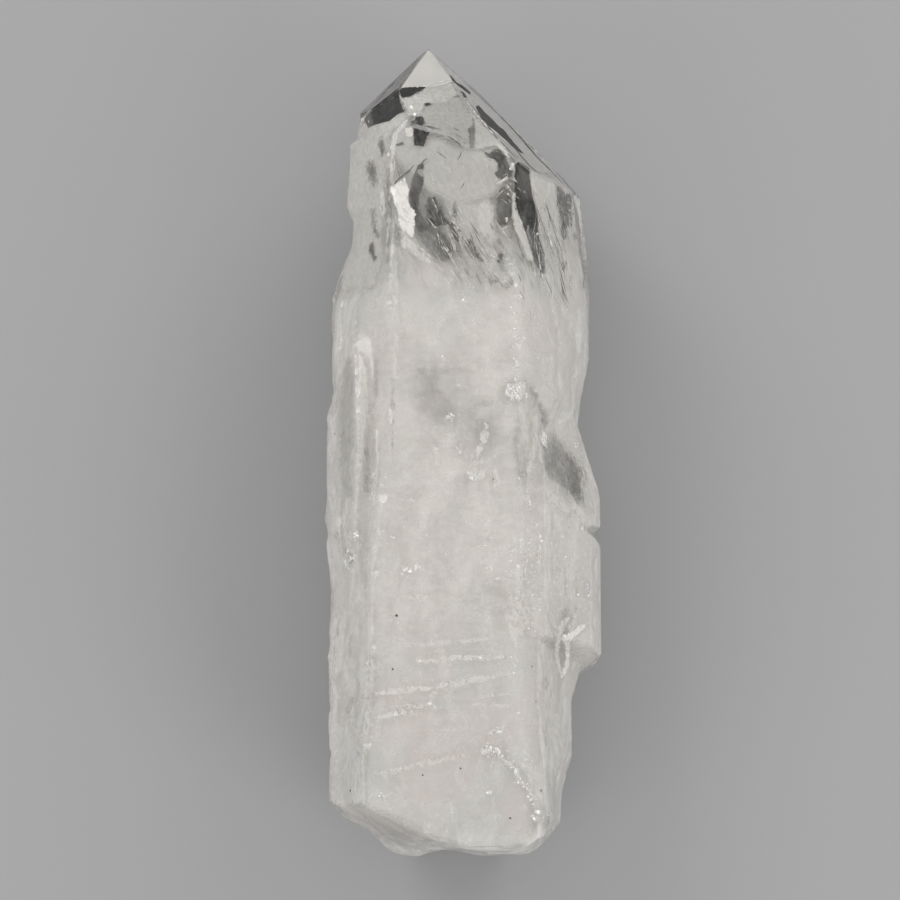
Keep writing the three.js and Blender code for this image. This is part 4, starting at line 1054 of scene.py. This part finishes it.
# Hairlines: fine cracks in the clear part of the tip, most of them running down to the right, a
# few by the ledge and the base, and the lines where two growth faces meet. Each is a thread of
# air, from as fine as a hair to four times that. Three dark lines on the right tip face, on or
# just above it, are painted dark reflections.
HAIR_SEED = 23
HAIR_RADIUS = 0.035
HAIR_SIDES = 5
HAIR_STEPS = 8
HAIR_LEAST_POINTS = 4
HAIR_TURN_SPREAD = 7
HAIR_BEND_SPREAD = 0.025
HAIR_LENGTHS = (0.4, 1.3)
HAIR_DEPTHS = (0.4, 1.4)
HAIR_STOUTNESS = (0.6, 1.7)
HAIR_TIP = 0.1
TRACE_STEP = 0.3
TRACE_SWAY = 0.12
TRACE_SWAY_SCALE = 1.3
# Each row is how many cracks, their middle, how far they spread, their turn, length and depth
WHITE_HAIRS = [
    (52, (0.8, 19.4), (3.4, 3.8), -60, 3.4, 0.4), (60, (9.2, 22.4), (1.7, 5.6), -76, 4.4, 0.08),
    (14, (-9.0, 25.0), (1.6, 7.0), -86, 3.0, 0.5), (7, (-1.0, 26.5), (3.5, 3.5), -66, 1.6, 0.4),
    (9, (4.4, 26.6), (1.0, 1.6), 38, 1.3, 0.2), (12, (4.8, 26.0), (0.8, 2.2), -46, 1.2, 0.2),
    (22, (-2.4, 22.2), (1.8, 3.0), -62, 2.0, 0.4), (18, (6.6, 15.5), (0.9, 4.5), -68, 2.6, 0.25),
]
DARK_HAIRS = [
    (28, (0.8, 20.2), (3.0, 3.2), -60, 2.2, 0.4), (30, (9.4, 21.6), (1.5, 4.6), -76, 2.8, 0.08),
    (5, (-1.2, 32.6), (2.6, 1.6), -28, 1.2, 0.5), (12, (6.6, 16.5), (0.8, 3.6), -68, 1.3, 0.3),
    (6, (-8.6, 25.0), (1.4, 5.0), -86, 1.4, 0.5),
]
# Each row is a line that was followed on the crystal, how stout it is and how deep it lies
WHITE_LINES = [
    ([(-5.9, 34.6), (-4.5, 34.0), (-3.7, 33.6)], 1.6, 0.3),
    ([(3.3, 26.7), (3.7, 27.1), (4.3, 27.4), (4.9, 27.6)], 2.4, 0.25),
    ([(4.6, 27.0), (4.9, 26.6), (5.2, 26.1), (5.4, 25.9)], 2.4, 0.25),
    ([(2.3, 30.6), (2.6, 30.9), (2.8, 30.8)], 2.0, 0.25),
    ([(2.0, 29.6), (2.6, 29.9), (3.3, 29.7), (3.6, 29.5)], 1.8, 0.25),
    ([(3.8, 21.7), (4.6, 22.1), (5.4, 22.4)], 2.4, 0.25),
    ([(10.1, 28.2), (10.2, 26.4), (10.4, 24.6)], 2.4, 0.25),
    ([(-5.4, 21.4), (-4.7, 20.1), (-3.5, 19.0), (-2.7, 18.6)], 2.6, 0.2),
    ([(5.5, 25.2), (5.8, 24.1), (6.2, 22.8), (6.8, 21.2), (7.5, 19.6)], 2.2, 0.2),
    ([(3.5, 40.1), (5.0, 38.5), (6.8, 36.3), (8.8, 34.1), (10.5, 32.3), (11.4, 31.1)], 1.8, 0.08),
    ([(2.1, 35.4), (3.6, 33.8), (5.1, 33.0), (6.2, 31.9)], 1.6, 0.07),
    ([(-3.4, 25.8), (-3.1, 25.0), (-2.7, 24.1)], 2.0, 0.3),
    ([(-3.2, 22.3), (-2.5, 22.5)], 2.0, 0.3),
    ([(-1.9, 22.7), (-1.5, 21.5), (-0.9, 20.2), (-0.7, 18.7)], 1.8, 0.3),
    ([(-1.5, 23.4), (-0.9, 22.7), (-0.3, 22.0)], 1.8, 0.3),
    ([(-6.9, 39.7), (-5.7, 40.0), (-4.2, 40.1), (-3.1, 40.7), (-1.2, 41.3)], 2.8, 0.06),
    ([(-7.1, 38.8), (-6.7, 37.8), (-5.8, 36.0)], 1.6, 0.15),
    ([(-0.9, 40.5), (0.3, 38.1), (1.4, 36.3), (2.8, 34.0), (4.4, 31.6), (5.6, 29.6)], 2.2, 0.06),
    ([(-10.8, 37.2), (-8.8, 38.7), (-7.4, 39.9)], 1.6, 0.2),
    ([(1.8, -34.7), (3.0, -35.3), (4.2, -36.1), (5.5, -37.2), (5.9, -38.3), (7.7, -40.0)],
     2.6, 0.1),
    ([(7.3, -40.8), (7.5, -41.7), (8.0, -42.2), (9.2, -41.8)], 2.4, 0.1),
    ([(8.0, -12.8), (8.0, -15.7)], 4.0, 0.08), ([(7.0, -12.9), (6.5, -16.3)], 3.4, 0.08),
    ([(7.1, -7.3), (7.1, -9.4)], 4.0, 0.08), ([(8.7, 0.5), (9.0, -0.3), (8.8, -1.4)], 3.6, 0.1),
]
DARK_LINES_AND_PAINTED_REFLECTIONS = [
    ([(-4.3, 34.2), (-3.1, 33.8), (-2.3, 33.5)], 2.0, 0.3),
    ([(-1.9, 32.8), (-1.5, 32.6), (-0.4, 31.8), (-0.2, 31.4)], 2.6, 0.2),
    ([(-0.1, 31.0), (-0.3, 30.4), (-0.6, 30.0)], 1.8, 0.3),
    ([(-5.1, 29.6), (-4.7, 29.3), (-4.4, 29.9), (-4.0, 30.3), (-3.7, 30.3)], 2.4, 0.3),
    ([(-7.7, 27.3), (-7.2, 27.9), (-6.6, 28.4), (-5.9, 28.9), (-5.3, 29.7)], 4.0, 0.25),
    ([(0.2, 27.5), (0.0, 27.0), (-0.3, 26.6)], 1.8, 0.3),
    # Painted dark reflections: the next three lines lie on or just above the right tip face.
    ([(0.8, 37.9), (1.8, 35.9), (2.8, 34.3), (3.6, 32.8), (4.6, 31.6), (5.6, 30.3), (5.8, 29.7)],
     2.2, 0.0),
    ([(5.2, 33.2), (6.1, 31.9), (6.6, 31.0), (7.3, 30.2), (7.9, 29.7), (8.6, 29.4)], 2.4, -0.01),
    ([(4.2, 38.9), (5.1, 37.9), (6.3, 36.4), (7.1, 35.1), (8.0, 33.8), (9.0, 32.7), (9.9, 31.7),
      (10.9, 30.5), (11.3, 29.7)], 3.0, -0.02),
    ([(8.7, 33.6), (10.0, 32.5), (10.6, 31.6), (11.0, 31.0)], 1.4, 0.08),
    ([(7.9, 24.9), (8.1, 24.3), (8.3, 23.7)], 1.8, 0.3), ([(8.7, 25.2), (9.0, 24.6)], 1.8, 0.3),
    ([(9.3, 24.8), (9.4, 24.4), (9.5, 24.0)], 1.6, 0.3),
    ([(8.3, 22.4), (8.8, 21.8), (9.1, 21.1), (9.3, 20.6)], 1.8, 0.3),
    ([(10.5, 24.2), (10.8, 23.6), (11.2, 22.9)], 1.8, 0.12),
    ([(5.7, 21.5), (5.9, 20.7), (6.1, 19.9), (6.5, 18.7)], 2.0, 0.3),
    ([(-9.4, 39.7), (-7.9, 42.1), (-4.3, 45.6)], 1.8, 0.2),
    ([(-10.6, 37.9), (-8.6, 40.4), (-6.4, 43.0)], 2.4, 0.12),
    ([(-8.6, 38.9), (-7.0, 41.2), (-5.6, 43.2)], 1.8, 0.12),
]
WHITE_AIR = ((0.80, 0.79, 0.76, 1), (0.97, 0.96, 0.94, 1))
DARK_AIR_AND_PAINTED_REFLECTION = ((0.02, 0.02, 0.018, 1), (0.14, 0.135, 0.125, 1))
# Each row is the cracks' name, their random and their followed ones, colours and least cover
HAIR_KINDS = [("white_hairlines", WHITE_HAIRS, WHITE_LINES, WHITE_AIR, 0.15),
              ("dark_hairlines", DARK_HAIRS, DARK_LINES_AND_PAINTED_REFLECTIONS, DARK_AIR_AND_PAINTED_REFLECTION, 0.35)]


def traced(line, sunk):
    """A line of points under the surface that follows a drawn line in short steps."""
    path = []
    for (ax, ay), (bx, by) in zip(line, line[1:]):
        steps = max(1, round(math.hypot(bx - ax, by - ay) / TRACE_STEP))
        for share in np.arange(1 if path else 0, steps + 1) / steps:
            x, y = ax + share * (bx - ax), ay + share * (by - ay)
            there = Vector((x * TRACE_SWAY_SCALE, y * TRACE_SWAY_SCALE, ax))
            y_swayed = y + TRACE_SWAY * noise.noise(there)
            top = surface_above(x, y_swayed)
            if top is not None:
                path.append(Vector((x, y_swayed, top - sunk)) * MM)
    return path


def wandered(draw, middle, spread, turn, length, depth):
    """One random crack: a string of points under the surface, and how stout it is."""
    x = middle[0] + draw.uniform(-1, 1) * spread[0]
    y = middle[1] + draw.uniform(-1, 1) * spread[1]
    heading = math.radians(turn + draw.normal(0, HAIR_TURN_SPREAD))
    bend = draw.normal(0, HAIR_BEND_SPREAD)
    step = length * draw.uniform(*HAIR_LENGTHS) / HAIR_STEPS
    sunk = depth * draw.uniform(*HAIR_DEPTHS)
    stout = draw.uniform(*HAIR_STOUTNESS)
    path = []
    for _ in range(HAIR_STEPS + 1):
        top = surface_above(x, y)
        if top is None:
            break
        path.append(Vector((x, y, top - sunk)) * MM)
        heading += bend
        x += math.cos(heading) * step
        y += math.sin(heading) * step
    return path, stout


def hair_paths(rows, lines, seed):
    """Strings of points for the cracks, each just under the surface, and how stout they are."""
    draw = np.random.default_rng(seed)
    paths = [wandered(draw, *row) for count, *row in rows for _ in range(count)]
    paths = [(path, stout) for path, stout in paths if len(path) >= HAIR_LEAST_POINTS]
    return paths + [(traced(line, sunk), stout) for line, stout, sunk in lines]


def path_mesh(name, paths):
    """A mesh of bare edges along the paths, with the stoutness of each as a named value."""
    points, edges, stoutness = [], [], []
    for path, stout in paths:
        first = len(points)
        points += path
        stoutness += [stout] * len(path)
        edges += [(first + i, first + i + 1) for i in range(len(path) - 1)]
    mesh = bpy.data.meshes.new(name)
    mesh.from_pydata(points, edges, [])
    note(mesh, "stout", stoutness)
    return mesh


def named(tree, label, kind="FLOAT"):
    """A named value of the points, inside a Geometry Nodes tree."""
    return put(tree, "GeometryNodeInputNamedAttribute", {"Name": label}, data_type=kind).outputs[0]


def thread_tree(material):
    """The tree that gives bare edges a round body that tapers to nothing at both ends."""
    tree, given = new_tree("threads", {"Radius": HAIR_RADIUS})
    curve = put(tree, "GeometryNodeMeshToCurve", (given["Geometry"],)).outputs[0]
    along = put(tree, "GeometryNodeSplineParameter").outputs["Factor"]
    arch = number(tree, "SINE", number(tree, "MULTIPLY", along, math.pi))
    body = number(tree, "MULTIPLY_ADD", arch, 1 - HAIR_TIP, HAIR_TIP)
    thickness = number(tree, "MULTIPLY", named(tree, "stout"), body)
    ring = put(tree, "GeometryNodeCurvePrimitiveCircle",
               {"Resolution": HAIR_SIDES, "Radius": number(tree, "MULTIPLY", given["Radius"], MM)})
    tube = put(tree, "GeometryNodeCurveToMesh",
               {"Curve": curve, "Profile Curve": ring.outputs[0], "Scale": thickness,
                "Fill Caps": True})
    close_tree(tree, tube.outputs[0], material)
    return tree


def thread_finish(name, colours, least):
    """An air-filled crack: mottled along its length, and open in some places."""
    material, tree, shader = new_material(name)
    blotches = mottle(tree, object_mm(tree), low=0.4, high=0.62, scale=1.6, detail=4.0,
                      roughness=0.65)
    fill(tree, shader, {"Base Color": blended(tree, blotches, *colours), "Roughness": 0.35,
                        "Alpha": ramp(tree, blotches, 0.0, 1.0, start=least, end=0.95)})
    return material


for name, rows, lines, colours, least in HAIR_KINDS:
    threads = thread_tree(thread_finish(name, colours, least))
    paths = hair_paths(rows, lines, HAIR_SEED + len(rows))
    hair_shape = made_plain(name, path_mesh(name, paths), [
        ("NODES", {"node_group": threads}, {"Radius": HAIR_RADIUS})])
    hairs = show(name, hair_shape)

# Chips: small bruises where knocks split the quartz just under its skin, so that they glint
# white. They lie thickest along the front right edge, round the notch and the break, and in the
# ladder of grooves near the base.
CHIP_SEED = 57
CHIP_SIZE = 0.11
CHIP_DEPTH = 0.05
CHIP_TILT = 0.5
CHIP_SIZE_SPREAD = 0.35
CHIP_OUTLINE = [(1.0, 0.1), (0.55, 0.62), (-0.1, 0.8), (-0.85, 0.45), (-0.9, -0.3), (-0.2, -0.7),
                (0.6, -0.55)]
CHIP_CROWN = (0.05, 0.0, 0.22)
CHIP_FOOT = (0.0, 0.05, -0.1)
CHIP_DULL = (0.92, 0.91, 0.89, 1)
CHIP_WHITE = (0.99, 0.985, 0.975, 1)
LEAST_FACING = 0.15
GLINT_CHIPS = 4
GLINT_SPREAD = 0.09
# Each row is how many chips, two ends of the line that they lie along, their spread and size
CHIP_RUNS = [
    (60, (5.0, 18.6), (5.8, 4.6), 0.45, 0.9), (64, (5.0, 4.5), (6.4, 3.3), 0.4, 1.6),
    (60, (6.2, -12.4), (7.4, -23.0), 0.6, 1.1), (30, (-12.2, -11.2), (-12.1, -14.4), 0.4, 1.9),
    (16, (-6.4, -15.6), (-4.9, -15.3), 0.3, 1.3), (20, (2.2, -35.0), (4.0, -35.3), 0.25, 1.3),
    (30, (4.4, -36.0), (7.4, -40.4), 0.4, 0.9), (14, (7.6, -41.8), (9.2, -41.8), 0.3, 1.2),
    (12, (8.5, -0.4), (8.8, -1.6), 0.12, 1.6), (12, (-1.9, 0.8), (-1.3, 0.9), 0.2, 1.1),
    (14, (0.8, -5.5), (2.0, -5.4), 0.3, 1.3), (12, (-5.1, -25.6), (5.3, -25.1), 0.15, 0.8),
    (12, (-9.4, -29.0), (5.5, -26.9), 0.15, 0.8), (8, (-7.5, -30.6), (-3.2, -30.2), 0.15, 0.8),
    (8, (-7.6, -31.4), (-6.6, -31.2), 0.15, 1.1), (10, (-8.6, -37.5), (-6.9, -37.2), 0.2, 1.1),
    (8, (3.0, -33.1), (4.2, -32.8), 0.15, 1.2), (8, (-9.0, -40.1), (-8.2, -39.9), 0.2, 1.1),
    (8, (10.0, -23.0), (13.1, -20.7), 0.1, 0.9), (5, (10.3, -25.4), (10.7, -25.8), 0.1, 1.3),
    (10, (13.4, -15.6), (13.6, -16.8), 0.15, 1.3), (20, (12.2, 0.3), (13.4, -2.0), 0.2, 0.9),
    (10, (-10.4, -25.2), (-10.0, -25.8), 0.2, 1.3), (14, (5.3, -24.8), (5.4, -27.2), 0.2, 1.0),
    (70, (-9.0, -10.0), (5.0, -16.0), 4.0, 0.4), (110, (9.6, -9.0), (10.6, -38.0), 2.4, 0.5),
    (44, (7.0, -11.0), (8.5, -19.0), 1.2, 1.2), (34, (10.5, -10.5), (12.0, -18.0), 1.0, 1.1),
    (26, (3.5, -12.0), (5.0, -17.0), 1.2, 1.1), (100, (2.0, -9.0), (5.0, -20.0), 2.6, 0.45),
    (40, (-4.0, 14.0), (3.0, 4.0), 3.6, 0.4), (60, (-6.0, -26.0), (2.0, -42.0), 4.4, 0.4),
    (40, (1.0, 30.0), (3.5, 16.0), 3.0, 0.45), (20, (-8.0, 24.0), (-8.6, 30.0), 1.0, 0.45),
]
# Each row is a larger glint that stands by itself, and its size
GLINTS = [
    (5.6, 3.7, 3.4), (6.5, 9.7, 1.7), (5.8, 6.8, 1.7), (-1.5, 0.9, 1.7), (-0.6, 4.4, 1.2),
    (8.6, -0.9, 2.0), (-5.5, -8.1, 1.5), (-7.5, -12.2, 0.9), (-3.9, -11.9, 1.0),
    (-12.3, -13.8, 2.6), (-11.6, -11.7, 2.4), (-6.3, -15.5, 1.4), (-5.1, -15.4, 2.2),
    (3.7, -16.6, 1.4), (13.6, -16.1, 2.0), (12.4, 0.1, 1.4), (1.0, -5.6, 1.8), (1.3, -4.0, 1.3),
    (-8.8, -6.3, 1.0), (-2.2, 7.7, 1.1), (5.9, -12.5, 1.2), (2.7, -35.1, 2.6), (3.6, -35.3, 1.8),
    (5.5, -37.2, 1.8), (5.8, -38.4, 1.6), (7.8, -42.0, 2.9), (9.0, -41.8, 2.7), (2.7, -39.4, 1.6),
    (-7.6, -37.4, 1.8), (-8.5, -40.0, 1.5), (-13.5, -39.1, 1.5), (-1.3, -41.7, 1.2),
    (-10.2, -25.4, 1.8), (-4.7, -25.7, 1.3), (-1.2, -25.3, 1.3), (1.7, -25.3, 1.5),
    (-3.6, -30.2, 1.4), (-7.1, -31.4, 1.6), (-1.8, -28.1, 1.5), (3.8, -32.9, 1.7),
    (5.7, -31.2, 1.3), (-11.0, 36.7, 2.4), (-10.8, 35.9, 2.0), (-8.2, 31.0, 1.7),
    (4.7, 22.9, 1.1), (4.9, 25.8, 1.1), (5.2, 28.9, 1.5), (8.0, 21.8, 1.1),
    (11.8, 27.7, 1.3), (13.3, 24.6, 1.4), (7.3, -40.5, 1.4), (0.1, 14.0, 1.6), (5.2, 17.0, 1.8),
    (5.6, 15.7, 1.6), (6.0, 14.4, 1.5), (11.9, 26.9, 1.2),
]


def scattered(rows, seed, depth):
    """Points under the surface with a size and the way that the surface faces there."""
    draw = np.random.default_rng(seed)
    points, sizes, facings = [], [], []
    for count, start, end, spread, size in rows:
        for _ in range(count):
            share = draw.uniform()
            x = start[0] + share * (end[0] - start[0]) + draw.normal(0, spread)
            y = start[1] + share * (end[1] - start[1]) + draw.normal(0, spread)
            grown = size * draw.lognormal(0, CHIP_SIZE_SPREAD)
            hit, facing = cast_down(x, y)
            if hit is None or facing.z < LEAST_FACING:
                continue
            points.append(hit - facing * depth * MM)
            sizes.append(grown)
            facings.append(facing)
    mesh = bpy.data.meshes.new("points")
    mesh.from_pydata(points, [], [])
    note(mesh, "grown", sizes)
    note(mesh, "facing", [c for f in facings for c in f], kind="FLOAT_VECTOR")
    return mesh


def flake_mesh():
    """A chip: a small dished flake with an uneven outline, closed all round."""
    points = [(x, y, 0.0) for x, y in CHIP_OUTLINE] + [CHIP_CROWN, CHIP_FOOT]
    corners = len(CHIP_OUTLINE)
    faces = []
    for i in range(corners):
        j = (i + 1) % corners
        faces += [(i, j, corners), (j, i, corners + 1)]
    mesh = bpy.data.meshes.new("flake")
    mesh.from_pydata(points, [], faces)
    return mesh


def scatter_tree(name, mesh, tilt, material):
    """The tree that sets a shape on each point, lying on the surface with a random turn."""
    tree, given = new_tree(name, {"Size": CHIP_SIZE, "Tilt": tilt, "Seed": CHIP_SEED})
    shape = bpy.data.objects.new(mesh.name, mesh)
    pattern = put(tree, "GeometryNodeObjectInfo", {"Object": shape}).outputs["Geometry"]
    upright = put(tree, "FunctionNodeAlignRotationToVector",
                  {"Vector": named(tree, "facing", kind="FLOAT_VECTOR")}, axis="Z")
    spin = put(tree, "FunctionNodeRandomValue", {"Seed": given["Seed"]},
               data_type="FLOAT_VECTOR")
    low, high = [s for s in spin.inputs if s.enabled and s.name in ("Min", "Max")]
    low_tilt = number(tree, "MULTIPLY", given["Tilt"], -1.0)
    for socket, turns in ((low, (low_tilt, low_tilt, 0.0)),
                          (high, (given["Tilt"], given["Tilt"], 2 * math.pi))):
        tree.links.new(put(tree, "ShaderNodeCombineXYZ", turns).outputs[0], socket)
    euler = put(tree, "FunctionNodeEulerToRotation",
                (next(s for s in spin.outputs if s.enabled),)).outputs[0]
    rotation = put(tree, "FunctionNodeRotateRotation",
                   {"Rotation": upright.outputs[0], "Rotate By": euler}, rotation_space="LOCAL")
    size = number(tree, "MULTIPLY", number(tree, "MULTIPLY", given["Size"], MM),
                  named(tree, "grown"))
    placed = put(tree, "GeometryNodeInstanceOnPoints",
                 {"Points": given["Geometry"], "Instance": pattern,
                  "Rotation": rotation.outputs[0], "Scale": size})
    close_tree(tree, placed.outputs[0], material)
    return tree


def chip_finish():
    """Fresh white fractures, bright enough to glint through the surface."""
    material, tree, shader = new_material("white_chip")
    blotches = mottle(tree, object_mm(tree), low=0.35, high=0.65, scale=3.0)
    fill(tree, shader, {"Base Color": blended(tree, blotches, CHIP_DULL, CHIP_WHITE),
                        "Alpha": ramp(tree, blotches, 0.0, 1.0, start=0.6),
                        "Roughness": 0.2, "Metallic": 0.35})
    return material


chip_tree = scatter_tree("chips", flake_mesh(), CHIP_TILT, chip_finish())
glints = [(GLINT_CHIPS, (x, y), (x, y), GLINT_SPREAD * size, size) for x, y, size in GLINTS]
chip_points = scattered(CHIP_RUNS + glints, CHIP_SEED, CHIP_DEPTH)
chip_shape = made_plain("white_chips", chip_points, [
    ("NODES", {"node_group": chip_tree}, {"Size": CHIP_SIZE})])
chips = show("white_chips", chip_shape)

# Dirt: a few black grains of earth that stayed in pits of the etched faces. Each is a rounded
# lump a quarter of a millimetre across, stuck a little way in.
DIRT_SEED = 5
DIRT_SIZE = 0.12
DIRT_TILT = 0.4
DIRT_BLACK = (0.01, 0.009, 0.008, 1)
DIRT_BROWN = (0.05, 0.04, 0.032, 1)
GRAIN_UNEVENNESS = 0.35
GRAIN_UNEVENNESS_SCALE = 1.7
GRAIN_FLATNESS = 0.6
DIRT_SPOTS = [(-7.1, -20.7), (-0.3, -37.0), (-14.0, 0.7), (7.7, -29.6), (8.2, -39.2),
              (-4.3, -37.7), (4.9, -42.3), (-12.0, -39.0), (-7.5, -26.5), (7.3, -25.9)]


def grain_mesh():
    """A grain of dirt: a rounded lump with an uneven surface."""
    work = bmesh.new()
    bmesh.ops.create_icosphere(work, subdivisions=2, radius=1.0)
    for vertex in work.verts:
        vertex.co *= 1 + GRAIN_UNEVENNESS * noise.noise(vertex.co * GRAIN_UNEVENNESS_SCALE)
        vertex.co.z *= GRAIN_FLATNESS
    mesh = bpy.data.meshes.new("grain")
    work.to_mesh(mesh)
    work.free()
    return mesh


def dirt_finish():
    """Dull, nearly black earth with a brown cast."""
    material, tree, shader = new_material("black_dirt")
    blotches = mottle(tree, object_mm(tree), low=0.3, high=0.7, scale=6.0)
    fill(tree, shader, {"Base Color": blended(tree, blotches, DIRT_BLACK, DIRT_BROWN),
                        "Roughness": 0.85})
    return material


dirt_tree = scatter_tree("dirt", grain_mesh(), DIRT_TILT, dirt_finish())
dirt_points = scattered([(1, spot, spot, 0.0, 1.0) for spot in DIRT_SPOTS], DIRT_SEED, 0.0)
dirt_shape = made_plain("black_dirt", dirt_points, [
    ("NODES", {"node_group": dirt_tree}, {"Size": DIRT_SIZE, "Seed": DIRT_SEED})])
dirt = show("black_dirt", dirt_shape)

# Studio: a plain grey floor, four soft round lamps that stand about it, the strongest beyond the
# tip, an evenly lit room, and the camera nearly overhead, as in the photograph.
VIEW_TARGET = (-0.00143, -0.00012, 0.012)
VIEW_DISTANCE = 0.45
VIEW_HEIGHT = math.radians(77)
VIEW_LENS = 163.6
FLOOR_HALF = 4.0
FLOOR_GREY = (0.42, 0.42, 0.43, 1)
ROOM_WHITE = (1.0, 0.985, 0.965, 1)
ROOM_STRENGTH = 0.62
LAMP_WIDTH = 0.40
# Each row is the lamp's place and its power
LAMPS = [((-0.45, 0.42, 0.42), 1.3), ((0.42, 0.50, 0.32), 1.1), ((0.42, -0.40, 0.26), 0.95),
         ((-0.42, -0.40, 0.26), 0.5)]
BOUNCES = {"max_bounces": 16, "transmission_bounces": 12, "transparent_max_bounces": 20,
           "diffuse_bounces": 4}

corners = [(-FLOOR_HALF, -FLOOR_HALF, 0), (FLOOR_HALF, -FLOOR_HALF, 0),
           (FLOOR_HALF, FLOOR_HALF, 0), (-FLOOR_HALF, FLOOR_HALF, 0)]
floor_mesh = bpy.data.meshes.new("floor")
floor_mesh.from_pydata(corners, [], [(0, 1, 2, 3)])
floor_material, floor_tree, floor_shader = new_material("pale_floor")
fill(floor_tree, floor_shader, {"Base Color": FLOOR_GREY, "Roughness": 0.9,
                                "Specular IOR Level": 0.1})
floor_mesh.materials.append(floor_material)
floor = bpy.data.objects.new("floor", floor_mesh)
bpy.context.scene.collection.objects.link(floor)

for index, (place, power) in enumerate(LAMPS):
    lamp = bpy.data.lights.new("softbox_%d" % index, "AREA")
    lamp.shape = "DISK"
    lamp.size = LAMP_WIDTH
    lamp.energy = power
    holder = bpy.data.objects.new(lamp.name, lamp)
    holder.location = place
    holder.rotation_euler = (-Vector(place)).to_track_quat("-Z", "Y").to_euler()
    bpy.context.scene.collection.objects.link(holder)

world = bpy.data.worlds.new("soft_room")
world.use_nodes = True
fill(world.node_tree, world.node_tree.nodes["Background"],
     {"Color": ROOM_WHITE, "Strength": ROOM_STRENGTH})
bpy.context.scene.world = world

camera = bpy.data.cameras.new("camera")
camera.lens = VIEW_LENS
camera.clip_start = 0.01
viewer = bpy.data.objects.new("camera", camera)
back = Vector((0, -math.cos(VIEW_HEIGHT), math.sin(VIEW_HEIGHT)))
viewer.location = Vector(VIEW_TARGET) + back * VIEW_DISTANCE
viewer.rotation_euler = back.to_track_quat("Z", "Y").to_euler()
bpy.context.scene.collection.objects.link(viewer)
bpy.context.scene.camera = viewer

bpy.context.scene.view_settings.view_transform = "Standard"
for name, count in BOUNCES.items():
    setattr(bpy.context.scene.cycles, name, count)
